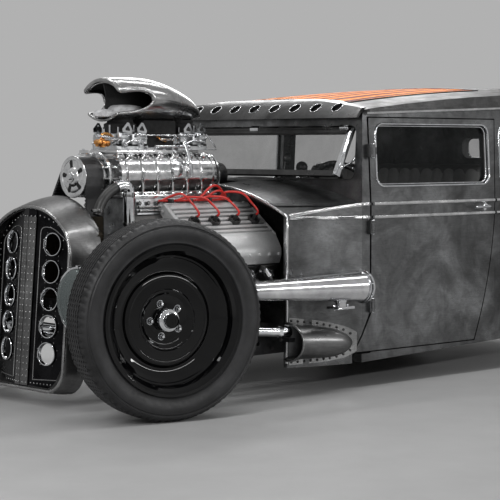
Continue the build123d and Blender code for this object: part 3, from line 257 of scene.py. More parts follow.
steel_body = bare_steel("bare_body_steel", grey(0.055), (0.30, 0.305, 0.31))
steel_dark = bare_steel("dark_steel", grey(0.03), grey(0.13), (0.24, 0.44))
roof_steel = bare_steel("roof_steel", grey(0.05), grey(0.20), (0.40, 0.58))
strip_steel = bare_steel("strip_steel", grey(0.10), grey(0.26), (0.4, 0.6))
steel_bright = bare_steel("bright_rubbed_steel", grey(0.20), grey(0.55), (0.16, 0.30))
shell_steel = bare_steel("shell_steel", grey(0.10), grey(0.30), (0.26, 0.42))
scoop_steel = bare_steel("scoop_steel", grey(0.22), grey(0.62), (0.14, 0.30))
blower_alloy = metal("blower_alloy", (0.46, 0.465, 0.47), grey(0.86), (0.08, 0.24), 20, 340, 0.10)
cover_alloy = metal(
    "cover_alloy", (0.50, 0.505, 0.51), grey(0.62), (0.30, 0.40), 5, 420, 0.03, metallic=0.55,
)
# Steel far brighter than the body steel, for the belt beads, drip rail and cowl edge: a painted highlight.
painted_highlight_steel = metal("painted_highlight_steel", (0.52, 0.525, 0.53), grey(0.86), (0.12, 0.28), 14, 300, 0.05)
chrome = metal("chrome", (0.52, 0.53, 0.55), (0.86, 0.87, 0.88), (0.04, 0.13), 14, 300, 0.02)
alloy = metal("polished_alloy", (0.50, 0.51, 0.52), grey(0.86), (0.10, 0.30), 22, 340, 0.16)
cast_alloy = metal("cast_alloy", (0.34, 0.35, 0.36), (0.72, 0.73, 0.74), (0.24, 0.46), 30, 420, 0.35)
iron = metal("oily_iron", (0.05, 0.05, 0.052), (0.17, 0.165, 0.16), (0.35, 0.6), 16, 300, 0.3)
brass = metal("brass", (0.40, 0.17, 0.05), (0.80, 0.40, 0.13), (0.15, 0.35), 40, 300, 0.1)
grille_black = metal("grille_black", (0.004, 0.004, 0.0045), (0.022, 0.022, 0.024), (0.22, 0.38), 14, 280)
old_brass = metal("sooty_brass", (0.008, 0.007, 0.006), (0.036, 0.030, 0.022), (0.5, 0.75), 30, 300, 0.3)
pipe_steel = metal(
    "polished_pipe", (0.50, 0.50, 0.51), (0.85, 0.85, 0.86), (0.08, 0.22), 8, 260, 0.05, (1, 12, 12),
)
black_gloss = enamel("gloss_black", (0.0012, 0.0012, 0.0015), 0.02, 0.0, 0.02, 0.32, 0.002)
frame_black = enamel("frame_black", (0.010, 0.010, 0.011), 0.3, 0.1, 0.3)
rubber = matt("tyre_rubber", (0.008, 0.008, 0.009), 0.52, 85, 0.3, 0.4, 0.45)
belt_rubber = matt("belt_rubber", (0.014, 0.014, 0.015), 0.5, 120, 0.3)
black_plastic = matt("black_plastic", grey(0.018), 0.4, 150, 0.12)
# Near-black for the grille gasket and the valve covers' grooves; also painted shade inside the scoop, round
# the carburettors and in the pulley's windows.
black_and_shade = matt("black_and_painted_shade", grey(0.008), 0.85, 50, 0.2)
red_rubber = matt("red_lead", (0.55, 0.018, 0.012), 0.34, 200, 0.08, 0.15)
seat_hide = leather("seat_hide", (0.34, 0.34, 0.335))
dark_hide = leather("dark_hide", (0.10, 0.10, 0.098))
window_glass = glass("window_glass", (0.010, 0.012, 0.012), 0.02, 0.13)
lens_glass = glass("lens_glass", (0.19, 0.22, 0.22), 0.06, 0.66, 0.6)
red_glass = glass("red_lens", (0.60, 0.02, 0.01), 0.12, 0.85)
roof_paint = flame_paint("roof_licks")
blade_white = matt("foam_filter", (0.55, 0.55, 0.56), 0.8, 300, 0.5)

CAD_LOOKS = (
    (steel_body, "cowl quarter_panel_left quarter_panel_right tail_panel door_left door_right"),
    (steel_dark, "visor windscreen_frame floor_pan dashboard"),
    (roof_steel, "roof"),
    (roof_paint, "roof_insert"),
    (window_glass, "door_glass_left door_glass_right quarter_glass rear_glass windscreen_glass"),
    (frame_black, "frame front_spring rear_suspension"),
    (chrome, "front_axle radius_rods tie_rod water_neck headlights"),
    (iron, "rear_axle driveline knuckle_left knuckle_right engine_block"),
    (cover_alloy, "valve_covers"),
    (cast_alloy, "intake_manifold carburetors"),
    (alloy, "blower pulleys"),
    (belt_rubber, "blower_belt"),
    (scoop_steel, "scoop"),
    (black_plastic, "distributor steering_wheel shifter"),
    (red_rubber, "plug_wires"),
    (shell_steel, "grille_shell blisters"),
    (grille_black, "grille_insert"),
    (old_brass, "radiator"),
    (lens_glass, "headlight_lenses"),
    (pipe_steel, "exhaust"),
    (seat_hide, "front_seat rear_seat"),
    (red_glass, "tail_lamps"),
    (black_gloss, "wheel_front_left wheel_front_right wheel_rear_left wheel_rear_right"),
    (rubber, "tyre_front_left tyre_front_right tyre_rear_left tyre_rear_right"),
)
for look, names in CAD_LOOKS:
    for name in names.split():
        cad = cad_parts[name]
        cad.data.materials.clear()
        cad.data.materials.append(look)
        for polygon in cad.data.polygons:
            polygon.material_index = 0


# Mesh building.
def circle(count, start=0.0):
    """Cosine and sine of evenly spaced angles round a full turn."""
    angles = [2 * math.pi * k / count + start for k in range(count)]
    return [(math.cos(a), math.sin(a)) for a in angles]


def grid(rows, columns, wrap=False, wrap_rows=False):
    """Faces over rows of points; wrap closes each row, wrap_rows joins the last row to the first."""
    faces = []
    for i in range(rows if wrap_rows else rows - 1):
        a, b = i * columns, (i + 1) % rows * columns
        for k in range(columns if wrap else columns - 1):
            m = (k + 1) % columns
            faces.append((a + k, a + m, b + m, b + k))
    return faces


def lids(rows, columns, turned=False):
    """The two end faces of a closed grid."""
    ends = [tuple(reversed(range(columns))), tuple(range((rows - 1) * columns, rows * columns))]
    return [end[::-1] for end in ends] if turned else ends


def millimetres(points):
    return [(a / 1000, b / 1000) for a, b in points]


class Piece:
    """One mesh object put together from simple turned, swept and placed forms."""

    def __init__(self, name, look, slot, body=CAR):
        self.name, self.look, self.slot, self.body = name, look, slot, body
        self.verts, self.faces = [], []

    def add(self, verts, faces):
        base = len(self.verts)
        self.verts.extend(Vector(v) for v in verts)
        self.faces.extend(tuple(base + i for i in face) for face in faces)

    def turn(self, origin, axis, profile, segments=24, closed=False, wobble=None):
        """Revolves (radius, along) points, in metres, round an axis."""
        axis = Vector(axis).normalized()
        side = UP if abs(axis.z) < 0.9 else FORWARD
        u = (side - axis * side.dot(axis)).normalized()
        v = axis.cross(u)
        verts = []
        for i, (cos, sin) in enumerate(circle(segments)):
            for j, (radius, along) in enumerate(profile):
                if wobble:
                    radius, along = wobble(i, j, radius, along)
                verts.append(origin + axis * along + (u * cos + v * sin) * radius)
        count = len(profile)
        faces = []
        for i in range(segments):
            k = (i + 1) % segments
            for j in range(count if closed else count - 1):
                m = (j + 1) % count
                faces.append((i * count + j, k * count + j, k * count + m, i * count + m))
        self.add(verts, faces)

    def lathe(self, origin, axis, profile, segments=24, wobble=None):
        """Revolves (radius, along) points, in millimetres, round an axis."""
        self.turn(origin, axis, millimetres(profile), segments, wobble=wobble)

    def dome(self, point, normal, radius, height, segments=10):
        rings = [
            (radius, 0), (radius * 0.92, height * 0.5), (radius * 0.6, height * 0.88), (0.0002, height),
        ]
        self.turn(Vector(point), normal, rings, segments)

    def rod(self, start, end, radius, bevel=0.0):
        start, end = Vector(start), Vector(end)
        length = (end - start).length
        b = min(bevel, length / 3)
        rings = [(0.0001, 0), (radius - b, 0), (radius, b)]
        rings += [(r, length - along) for r, along in reversed(rings)]
        self.turn(start, end - start, rings, 16)

    def nut(self, point, normal, radius, height):
        rings = [(radius, 0), (radius, height * 0.8), (radius * 0.86, height), (0.0001, height)]
        self.turn(Vector(point), normal, rings, 6)

    def ring(self, point, normal, radius, thick, segments, round_steps):
        rings = [(radius + thick * cos, thick * sin) for cos, sin in circle(round_steps)]
        self.turn(Vector(point), normal, rings, segments, closed=True)

    def brick(self, centre, x_way, y_way, dims, bevel=0.0):
        """Box with its edges rounded by a small bevel."""
        x = Vector(x_way).normalized()
        y = Vector(y_way).normalized()
        z = x.cross(y).normalized()
        y = z.cross(x).normalized()
        bm = bmesh.new()
        bmesh.ops.create_cube(bm, size=1)
        for vert in bm.verts:
            vert.co = Vector([c * d for c, d in zip(vert.co, dims)])
        if bevel:
            bmesh.ops.bevel(bm, geom=bm.edges[:], offset=bevel, segments=2, profile=0.6, affect="EDGES")
        bm.verts.ensure_lookup_table()
        turn = Matrix((x, y, z)).transposed()
        self.add(
            [Vector(centre) + turn @ v.co for v in bm.verts],
            [[v.index for v in f.verts] for f in bm.faces],
        )
        bm.free()

    def tube(self, points, radius, segments=12, steps=6, closed=False):
        """Round tube along a smooth line through points."""
        frames = carried_frames(smooth_line(points, steps, closed), closed)
        ways = circle(segments)
        faces = grid(len(frames), segments, True, closed)
        if not closed:
            faces += lids(len(frames), segments)
        self.add([p + (u * cos + v * sin) * radius for p, u, v in frames for cos, sin in ways], faces)

    def sweep(self, points, outline):
        """Sweeps a closed (side, up) outline along points, kept upright."""
        verts = []
        for i, p in enumerate(points):
            way = (points[min(i + 1, len(points) - 1)] - points[max(i - 1, 0)]).normalized()
            side = way.cross(UP).normalized()
            top = side.cross(way).normalized()
            verts += [p + side * a + top * b for a, b in outline]
        size = len(points), len(outline)
        self.add(verts, grid(*size, True) + lids(*size))

    def mirrored(self):
        """Adds the mirror image across the car's middle."""
        count = len(self.verts)
        self.verts += [Vector((v.x, -v.y, v.z)) for v in self.verts]
        self.faces += [tuple(i + count for i in reversed(face)) for face in self.faces]

    def done(self, smooth=40, replaces=()):
        mesh = bpy.data.meshes.new(self.name)
        mesh.from_pydata([v[:] for v in self.verts], [], self.faces)
        mesh.validate()
        bm = bmesh.new()
        bm.from_mesh(mesh)
        bmesh.ops.remove_doubles(bm, verts=bm.verts, dist=0.00001)
        bmesh.ops.recalc_face_normals(bm, faces=bm.faces)
        limit = math.radians(smooth)
        for face in bm.faces:
            face.smooth = True
        for edge in bm.edges:
            if len(edge.link_faces) == 2 and edge.calc_face_angle(0) > limit:
                edge.smooth = False
        bm.to_mesh(mesh)
        bm.free()
        mesh.materials.append(self.look)
        made = bpy.data.objects.new(self.name, mesh)
        bpy.context.scene.collection.objects.link(made)
        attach(made, self.body)
        if replaces:
            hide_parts(*replaces)
        return made


def lone_tube(name, look, slot, points, radius, segments, steps=1, closed=False, body=CAR):
    """A piece that is one tube."""
    piece = Piece(name, look, slot, body)
    piece.tube(points, radius, segments, steps, closed)
    piece.done(60)


def smooth_line(points, steps, closed=False):
    """Catmull-Rom line through points."""
    pts = [Vector(p) for p in points]
    if steps <= 1 or len(pts) < 3:
        return pts
    count = len(pts)
    out = []
    for i in range(count if closed else count - 1):
        p1, p2 = pts[i], pts[(i + 1) % count]
        p0 = pts[i - 1] if closed or i > 0 else p1 * 2 - p2
        p3 = pts[(i + 2) % count] if closed or i + 2 < count else p2 * 2 - p1
        bend = 2 * p0 - 5 * p1 + 4 * p2 - p3
        twist = 3 * p1 - p0 - 3 * p2 + p3
        for k in range(steps):
            t = k / steps
            out.append(0.5 * ((2 * p1) + (p2 - p0) * t + bend * t * t + twist * t * t * t))
    if not closed:
        out.append(pts[-1])
    return out


def carried_frames(pts, closed=False):
    """Points with two cross directions carried along without twist."""
    count = len(pts)
    ways = []
    for i in range(count):
        a = pts[i - 1] if closed or i > 0 else pts[i]
        b = pts[(i + 1) % count] if closed or i + 1 < count else pts[i]
        ways.append((b - a).normalized())
    u = ways[0].orthogonal().normalized()
    out = []
    for p, way in zip(pts, ways):
        u = (u - way * u.dot(way)).normalized()
        out.append((p, u.copy(), way.cross(u)))
    return out


def rounded(points, radius, steps=4):
    """Polyline with its inner corners rounded."""
    out = [points[0]]
    for before, corner, after in zip(points, points[1:], points[2:]):
        c, a, b = Vector(corner), Vector(before), Vector(after)
        reach = min(radius, (a - c).length * 0.45, (b - c).length * 0.45)
        start = c + (a - c).normalized() * reach
        end = c + (b - c).normalized() * reach
        for k in range(steps + 1):
            t = k / steps
            out.append(tuple(start * (1 - t) ** 2 + c * 2 * t * (1 - t) + end * t * t))
    out.append(points[-1])
    return out


# Tyres and wheels: centre, way out, barrel radius, half width, tyre radius, dish and body.
WHEELBASE, REAR_R = 2690, 385
WHEELS = {}
for corner, side in SIDES:
    out = Vector((side * math.sin(STEER), side * math.cos(STEER), 0))
    hub = Vector((AXLE_X / 1000, side * 0.6, 0.355)) + out * 0.09
    WHEELS[f"front_{corner}"] = (hub, out, 240, 80, 355, 0, f"front_wheel_{corner}")
    WHEELS[f"rear_{corner}"] = (
        at(WHEELBASE, side * 800, REAR_R), ACROSS * side, 210, 120, REAR_R, 40, f"rear_wheel_{corner}",
    )


def build_tyre(name, centre, out, barrel, half, radius, body):
    grooves = [half * g for g in (0.11, 0.33, 0.54)]
    edge = half * 0.74
    tread = []
    for g in grooves:
        tread += [(radius, g - 4.2), (radius - 8, g - 2.4), (radius - 8, g + 2.4), (radius, g + 4.2)]
    tread = [(r - 2.0 * (w / half) ** 2, w) for r, w in tread]
    shoulder = [
        (radius - 2.2, edge - 4), (radius - 3.2, edge), (radius - 7, half - 15), (radius - 13, half - 8),
        (radius - 20, half - 3.0), (radius - 23, half - 5.4), (radius - 26, half - 5.4),
        (radius - 29, half - 2.2), (radius - 36, half - 0.6), (radius - 48, half), (barrel + 62, half - 1),
        (barrel + 50, half - 3), (barrel + 47, half - 4.6), (barrel + 38, half - 6.4),
        (barrel + 34, half - 6.2), (barrel + 30, half - 9), (barrel + 26, half - 12.2),
        (barrel + 14, half - 13.6), (barrel + 8, half - 16),
    ]
    upper = tread + shoulder
    lower = [(r, -w) for r, w in reversed(upper)]
    profile = lower + upper
    count = len(upper)
    teeth, notches = set(), set()
    for j, (r, w) in enumerate(upper):
        for index in (count + j, count - 1 - j):
            if j < len(tread):
                teeth.add(index)
            elif j < len(tread) + 3:
                notches.add(index)

    def wobble(i, j, r, w):
        if j in teeth:
            return r, w + (0.0026 if i % 2 else -0.0026)
        if j in notches and i % 3 == 0:
            return r - 0.0055, w
        return r, w

    tyre = Piece(f"{name}_tread", rubber, "tyre_black", body)
    tyre.lathe(centre, out, profile, 252 if half < 100 else 240, wobble=wobble)
    tyre.done(32, (name,))


def build_wheel(name, centre, out, barrel, half, dish, body):
    face = rounded(
        [
            (barrel + 25, half - 13), (barrel + 25.5, half - 5), (barrel + 16, half - 3.5),
            (barrel + 6, half - 8), (barrel - 3, half - 19), (barrel - 7, half - 30),
            (barrel - 9, dish + 38), (barrel - 17, dish + 29), (barrel - 36, dish + 15),
            (barrel - 58, dish + 6), (barrel - 70, dish + 4), (barrel - 78, dish + 15),
            (barrel - 92, dish + 18), (barrel - 102, dish + 12), (barrel - 122, dish + 13),
            (100, dish + 12), (88, dish + 2), (62, dish), (41, dish), (40, dish + 2), (40, dish + 28),
            (38, dish + 31), (28, dish + 33),
        ],
        5,
    )
    back = [
        (28, dish - 4), (barrel - 72, dish - 5), (barrel - 44, dish - 2), (barrel - 16, dish + 20),
        (barrel - 8, dish + 24), (barrel - 8, 28 - half), (barrel - 4, 18 - half), (barrel + 6, 8 - half),
        (barrel + 15, 4 - half), (barrel + 25, 4 - half), (barrel + 25, 13 - half),
    ]
    disc = Piece(f"{name}_disc", black_gloss, "wheel_paint", body)
    disc.lathe(centre, out, face, 160)
    disc.lathe(centre, out, back, 96)
    disc.lathe(
        centre, out,
        [
            (barrel + 25, 13 - half), (barrel + 2, 20 - half), (barrel - 1, 24 - half),
            (barrel - 1, half - 24), (barrel + 2, half - 20), (barrel + 25, half - 13),
        ],
        96,
    )
    disc.done(35)
    cap = Piece(f"{name}_cap", chrome, "chrome_trim", body)
    shape = rounded(
        [
            (41, dish + 20), (41, dish + 34), (34, dish + 38), (27, dish + 40), (26, dish + 52),
            (20, dish + 58), (0.1, dish + 59),
        ],
        3,
    )
    cap.lathe(centre, out, shape, 40)
    cap.lathe(centre, out, [(14, dish + 58), (13, dish + 60), (0.1, dish + 60)], 6)
    for cos, sin in circle(5, 0.35):
        spot = centre + (UP * cos + out.cross(UP) * sin) * 0.060 + out * (dish / 1000)
        cap.nut(spot, out, 0.0115, 0.012)
        cap.dome(spot + out * 0.012, out, 0.0085, 0.009)
        cap.ring(spot + out * 0.001, out, 0.0125, 0.0018, 18, 6)
    cap.done(35)


for corner, (centre, out, barrel, half, radius, dish, body) in WHEELS.items():
    build_tyre(f"tyre_{corner}", centre, out, barrel, half, radius, body)
    build_wheel(f"wheel_{corner}", centre, out, barrel, half, dish, body)


# Shared outlines of the body, in millimetres.
def between(table, place):
    """Straight interpolation in a table of (place, value, ...) rows."""
    for low_row, high_row in zip(table, table[1:]):
        if place <= high_row[0]:
            t = max(0, (place - low_row[0]) / (high_row[0] - low_row[0]))
            return [a + (b - a) * t for a, b in zip(low_row[1:], high_row[1:])]
    return list(table[-1][1:])


TAIL_S, TAIL_Y, TAIL_R = 2650, 360, 280
SIDE_PLAN = ((780, 487), (920, 572), (1060, 626), (1862, 655), (TAIL_S, TAIL_Y + TAIL_R))
BELT_Z, LEAN_HIGH, LEAN_IN = 734, 347, 20
ROOF_TOP, ROOF_R, ROOF_MIDDLE = 1237, 11800, 2556
WINDOW_LOW, WINDOW_HIGH, CORNER_STEPS = 806, 1050, 6


def cowl_y(s):
    return between(SIDE_PLAN, s)[0]


def leaning(z):
    """How far the sides above the belt line lean in."""
    return LEAN_IN * (z - BELT_Z) / LEAN_HIGH if z > BELT_Z else 0


def skin_y(s, z):
    """Half width of the body at a station and a height."""
    return cowl_y(s) - leaning(z)


def roof_z(s, y):
    return ROOF_TOP - ROOF_R + math.sqrt((ROOF_R - y * y / 10000) ** 2 - (s - ROOF_MIDDLE) ** 2)


def rounded_box(a0, a1, b0, b1, radius):
    """Points of a rectangle with rounded corners, from its far high corner round."""
    points = []
    corners = (
        (a1 - radius, b1 - radius), (a0 + radius, b1 - radius), (a0 + radius, b0 + radius),
        (a1 - radius, b0 + radius),
    )
    for quarter, (a, b) in enumerate(corners):
        for k in range(CORNER_STEPS + 1):
            angle = math.radians(90 * quarter + 90 * k / CORNER_STEPS)
            points.append((a + radius * math.cos(angle), b + radius * math.sin(angle)))
    return points


def window_loop(front, rear, spread, corner, proud, side):
    """Rounded window outline on the body's skin, grown by a spread."""
    box = rounded_box(front - spread, rear + spread, WINDOW_LOW - spread, WINDOW_HIGH + spread, corner)
    return [at(s, side * (skin_y(s, z) + proud), z) for s, z in box]


# Windows.
def window_trim(name, body, front, rear, side):
    bright = Piece(f"{name}_bright", chrome, "chrome_trim", body)
    bright.tube(window_loop(front, rear, 3, 41, 0.5, side), 0.0045, 10, 1, closed=True)
    bright.tube(window_loop(front, rear, -5, 34, -11, side), 0.0035, 8, 1, closed=True)
    bright.done(60)
    channel = window_loop(front, rear, -3, 36, -17, side)
    lone_tube(f"{name}_channel", black_plastic, "black_trim", channel, 0.005, 8, 1, True, body)


for corner, side in SIDES:
    window_trim(f"door_window_{corner}", f"door_{corner}", 1150, 1828, side)
    window_trim(f"quarter_window_{corner}", CAR, 1908, 2470, side)
    handle = Piece(f"door_handle_{corner}", chrome, "chrome_trim", f"door_{corner}")
    seat = at(1800, side * 655, 708)
    out = ACROSS * side
    handle_end = seat + out * 0.027 + FORWARD * 0.092
    handle.lathe(
        seat - out * 0.004, out, [(17, 0), (17, 4), (14, 7), (9, 8), (8, 22), (6, 26), (0.1, 27)], 28,
    )
    handle.tube(
        [
            seat + out * 0.022, seat + out * 0.030 + FORWARD * 0.01, seat + out * 0.031 + FORWARD * 0.06,
            handle_end,
        ],
        0.0062, 12, 5,
    )
    handle.dome(handle_end, FORWARD, 0.0062, 0.004)
    handle.done()


# Edges of the visor's holes.
def circle_through(a, b, c):
    """Centre and radius of the circle through three (s, z) points."""
    d = 2 * (a[0] * (b[1] - c[1]) + b[0] * (c[1] - a[1]) + c[0] * (a[1] - b[1]))
    squares = [p[0] ** 2 + p[1] ** 2 for p in (a, b, c)]
    s = (squares[0] * (b[1] - c[1]) + squares[1] * (c[1] - a[1]) + squares[2] * (a[1] - b[1])) / d
    z = (squares[0] * (c[0] - b[0]) + squares[1] * (a[0] - c[0]) + squares[2] * (b[0] - a[0])) / d
    return s, z, math.hypot(a[0] - s, a[1] - z)


brow_s, brow_z, brow_r = circle_through((1030, 1076), (1072, 1123), (1165, 1159))
brow_angle = math.atan2(1120 - brow_z, 1068 - brow_s)
edges = Piece("visor_hole_edges", chrome, "chrome_trim")
HOLE_PITCH, HOLE_R = 120, 26
for i in range(-4, 5):
    loop = []
    for cos, sin in circle(36):
        turn = brow_angle + HOLE_R * cos / brow_r
        s, z = brow_s + (brow_r + 0.4) * math.cos(turn), brow_z + (brow_r + 0.4) * math.sin(turn)
        loop.append(at(s, i * HOLE_PITCH + HOLE_R * sin, z))
    edges.tube(loop, 0.0017, 8, 1, closed=True)
edges.done(60)

# Roof insert edging.
outline = []
INSERT = ((1200, -420, 14), (1200, 420, 16), (2030, 420, 14), (2030, -420, 16))
for (s0, y0, count), (s1, y1, _) in zip(INSERT, INSERT[1:] + INSERT[:1]):
    for k in range(count):
        s, y = s0 + (s1 - s0) * k / count, y0 + (y1 - y0) * k / count
        outline.append(at(s, y, roof_z(s, y) + 1.2))
lone_tube("roof_edging", steel_dark, "raw_body", outline, 0.0032, 8, closed=True)

# Grille: pierced panels, rivets, collars and the shell's rolled edge.
LEAN = math.radians(4.6)
PANEL_V = math.radians(10)
RIDGE = Vector(((AXLE_X + 152) / 1000, 0, 0.053))
PANEL_UP = Vector((-math.sin(LEAN), 0, math.cos(LEAN)))


def panel_ways(side):
    out = Vector(
        (-math.sin(PANEL_V) * math.cos(LEAN), side * math.cos(PANEL_V), -math.sin(PANEL_V) * math.sin(LEAN))
    )
    return out, out.cross(PANEL_UP) * side


def on_panel(side, across, up, proud):
    out, normal = panel_ways(side)
    return RIDGE + (out * across + PANEL_UP * up + normal * proud) / 1000


collars = Piece("grille_collars", chrome, "chrome_trim")
strip_rivets = Piece("grille_rivets", steel_bright, "raw_body")
beads = Piece("grille_pressings", steel_bright, "raw_body")
spine = Piece("grille_spine", strip_steel, "raw_body")
HOLE_ACROSS, FIRST_HOLE, HOLE_STEP, RIVET_RING = 127, 141, 102, 52
PRESSING = ((62, 40), (62, 612), (120, 612), (206, 560), (206, 48), (62, 40))
for side in (1, -1):
    normal = panel_ways(side)[1]
    for i in range(5):
        hole_up = FIRST_HOLE + HOLE_STEP * i
        centre = on_panel(side, HOLE_ACROSS, hole_up, 0)
        collars.lathe(
            centre, normal, [(39.4, -9.5), (39.4, 4.6), (40.6, 6.6), (43.0, 6.8), (44.2, 4.9)], 56,
        )
        for cos, sin in circle(10, math.pi / 10):
            spot = on_panel(side, HOLE_ACROSS + RIVET_RING * cos, hole_up + RIVET_RING * sin, 0)
            if abs(sin) < 0.96:
                strip_rivets.dome(spot, normal, 0.0022, 0.0013, 7)
    for k in range(27):
        for across in (11, 31):
            strip_rivets.dome(on_panel(side, across, 26 + 24 * k, 4), normal, 0.0038, 0.0026, 9)
    border = [(52 + 17 * k, 27) for k in range(9)] + [(237, 104 + 23 * k) for k in range(20)]
    border += [(y / math.cos(PANEL_V), 354 + math.sqrt(304 ** 2 - y * y)) for y in range(52, 214, 23)]
    for across, up in border:
        strip_rivets.dome(on_panel(side, across, up, 0), normal, 0.0036, 0.0024, 9)
    beads.tube([on_panel(side, across, up, 0.4) for across, up in rounded(PRESSING, 24)], 0.0024, 8, 1)
    strip = [on_panel(side, x, up, 4.6) for up in range(16, 656, 8) for x in (0.6, 1.7, 20, 38.4)]
    spine.add(strip, grid(80, 4))
collars.done(40)
strip_rivets.done(60)
beads.done(60)
spine.done(40)


SHELL_HALF, SHELL_SHOULDER, SHELL_CROWN, SHELL_CORNER = 262, 560, 690, 95
EASE_REACH, EASE_ROUNDS = 44, 20


def shell_outline(half, shoulder, crown, inset):
    """Outline of the grille shell at one depth, drawn in by an inset."""
    w, corner = half - inset, SHELL_CORNER - inset
    rise = crown - shoulder - inset
    radius = (w * w + rise * rise) / (2 * rise)
    middle = crown - inset - radius
    reach = math.atan2(w, radius - rise)
    straight = shoulder - inset - corner
    arch = [reach * (1 - k / 12) for k in range(25)]
    bend = [math.pi / 20 * k for k in range(11)]
    flat = [(radius * math.sin(a), middle + radius * math.cos(a)) for a in arch]
    flat += [(-w, shoulder - straight * k / 6) for k in range(1, 6)]
    flat += [(corner - w - corner * math.cos(a), inset + corner - corner * math.sin(a)) for a in bend]
    flat += [(w - corner + corner * math.sin(a), inset + corner - corner * math.cos(a)) for a in bend]
    return flat + [(w, inset + corner + straight * k / 6) for k in range(1, 6)]


def eased(flat):
    """Outline with its two shoulders rounded."""
    dense = []
    for i, (a, b) in enumerate(flat):
        c, d = flat[(i + 1) % len(flat)]
        count = max(1, round(math.hypot(c - a, d - b) / 9))
        dense += [(a + (c - a) * k / count, b + (d - b) * k / count) for k in range(count)]
    shoulders = [max(dense, key=lambda p: side * p[0] + p[1] * 0.7) for side in (1, -1)]
    near = [i for i, p in enumerate(dense) if min(math.dist(p, q) for q in shoulders) < EASE_REACH]
    for _ in range(EASE_ROUNDS):
        dense = [
            tuple(
                (dense[i - 1][j] + dense[(i + 1) % len(dense)][j]) / 2
                for j in (0, 1)
            ) if i in near else p
            for i, p in enumerate(dense)
        ]
    return dense


def shell_loop(inset, forward):
    ahead = Vector((math.cos(LEAN), 0, math.sin(LEAN))) * forward / 1000
    outline = eased(shell_outline(SHELL_HALF, SHELL_SHOULDER, SHELL_CROWN, inset))
    return [RIDGE + ahead + Vector((0, y / 1000, 0)) + PANEL_UP * (z / 1000) for y, z in outline]


skin = Piece("grille_shell_skin", shell_steel, "raw_body")
DEPTH = 130
DEPTHS = [
    (0.5, 3), (4, 0.6), (12, 0), (30, 0), (50, 0), (70, 0), (90, 0), (110, 0), (127, 0), (130, 3),
    (129, 12), (65, 12), (9, 12),
]
REAR_EDGE = ((-50, -70), (330, -55), (640, 32), (660, 60), (900, 60))
rows = []
for depth, inset in DEPTHS:
    t = depth / DEPTH
    swell = 5 * math.sin(math.pi * min(1, t)) if inset < 5 else 0
    half, shoulder, crown = SHELL_HALF + 19 * t, SHELL_SHOULDER + 22 * t, SHELL_CROWN + 46 * t
    outline = eased(shell_outline(half, shoulder, crown, inset - swell))
    ring = []
    for y, z in outline:
        place = RIDGE + Vector((0, y / 1000, 0)) + PANEL_UP * (z / 1000)
        behind = Vector((-math.cos(LEAN), 0, -math.sin(LEAN))) * (depth / 1000)
        height = place.z * 1000
        limit = between(REAR_EDGE, height)[0]
        start = AXLE_X - place.x * 1000
        if start + depth > limit:
            behind *= max(0.02, (limit - start) / depth)
        ring.append(place + behind)
    rows.append(ring)
skin.add([p for ring in rows for p in ring], grid(len(rows), len(rows[0]), True))
skin.done(50, ("grille_shell",))

lone_tube("grille_shell_lip", steel_bright, "chrome_trim", shell_loop(6, -1), 0.0068, 12, closed=True)
lone_tube("grille_gasket", black_and_shade, "black_trim", shell_loop(13.5, -7), 0.003, 8, closed=True)

core = Piece("radiator_core", old_brass, "brass_parts")
for k in range(41):
    core.brick(at(29.2, -200 + 10 * k, 540), FORWARD, ACROSS, (0.0014, 0.0022, 0.29))
for k in range(58):
    core.brick(at(29.4, 0, 398 + 5 * k), FORWARD, ACROSS, (0.001, 0.41, 0.0008))
for z in (694, 388):
    core.brick(at(28, 0, z), FORWARD, ACROSS, (0.006, 0.43, 0.012), 0.002)
core.done(35)

# Headlights: fluted glass, rim, reflector and fixings.
LAMP_S, LAMP_Y, LAMP_Z, LAMP_R = -172, 388, 410, 120
LENS_R, LENS_DOME, LENS_COLUMNS, LENS_ROWS = LAMP_R - 5.5, 38.0, 153, 18
FLUTE_PITCH, FLUTE_DEEP = 15.3, 3.2
lenses = Piece("headlight_flutes", lens_glass, "clear_glass")
rings = Piece("headlight_rings", chrome, "chrome_trim")
# The reflector bowls are dark steel rather than chrome: painted shade that keeps the pale surroundings out
# of the lenses.
bowls = Piece("headlight_bowls", steel_dark, "chrome_trim")
for side in (1, -1):
    verts = []
    for j in range(LENS_COLUMNS + 1):
        y = -LENS_R + 2 * LENS_R * j / LENS_COLUMNS
        reach = math.sqrt(max(0.5, LENS_R ** 2 + 2 - y * y))
        for k in range(LENS_ROWS + 1):
            z = -reach + 2 * reach * k / LENS_ROWS
            dome = LENS_DOME * math.sqrt(max(0.0, 1 - (y * y + z * z) / (LENS_R + 1) ** 2))
            flute = FLUTE_DEEP * abs(math.cos(math.pi * y / FLUTE_PITCH)) ** 0.6
            proud = dome + flute * min(1, max(0, reach - abs(z)) / 4)
            verts.append(at(LAMP_S - proud, side * LAMP_Y + y, LAMP_Z + z))
    lenses.add(verts, grid(LENS_COLUMNS + 1, LENS_ROWS + 1))
    middle = at(LAMP_S, side * LAMP_Y, LAMP_Z)
    rim = [(-6, -5), (-6, 1), (-4, 4), (-0.5, 5.2), (2.5, 4.2), (3.6, 0), (3, -9), (1, -14)]
    rings.lathe(middle, FORWARD, [(LAMP_R + r, along) for r, along in rim], 72)
    band = [(96.2, -4), (98.4, -2), (98.4, 4), (96, 7)]
    rings.lathe(at(-94, side * LAMP_Y, LAMP_Z), -FORWARD, band, 60)
    rings.nut(at(-62, side * LAMP_Y, LAMP_Z), -FORWARD, 0.017, 0.012)
    rings.nut(at(-112, side * LAMP_Y, LAMP_Z - 124), -UP, 0.012, 0.010)
    rings.brick(
        at(LAMP_S - 1, side * LAMP_Y, LAMP_Z + LAMP_R + 2), FORWARD, ACROSS, (0.014, 0.014, 0.012), 0.002,
    )
    dish = [(LENS_R, 13), (100, 8), (76, 4), (45, 1.6), (16, 0.8), (15, 4), (9, 9.5), (0.1, 11)]
    bowls.lathe(at(LAMP_S + 14, side * LAMP_Y, LAMP_Z), FORWARD, dish, 60)
lenses.done(50, ("headlight_lenses",))
rings.done(35)
bowls.done(45)

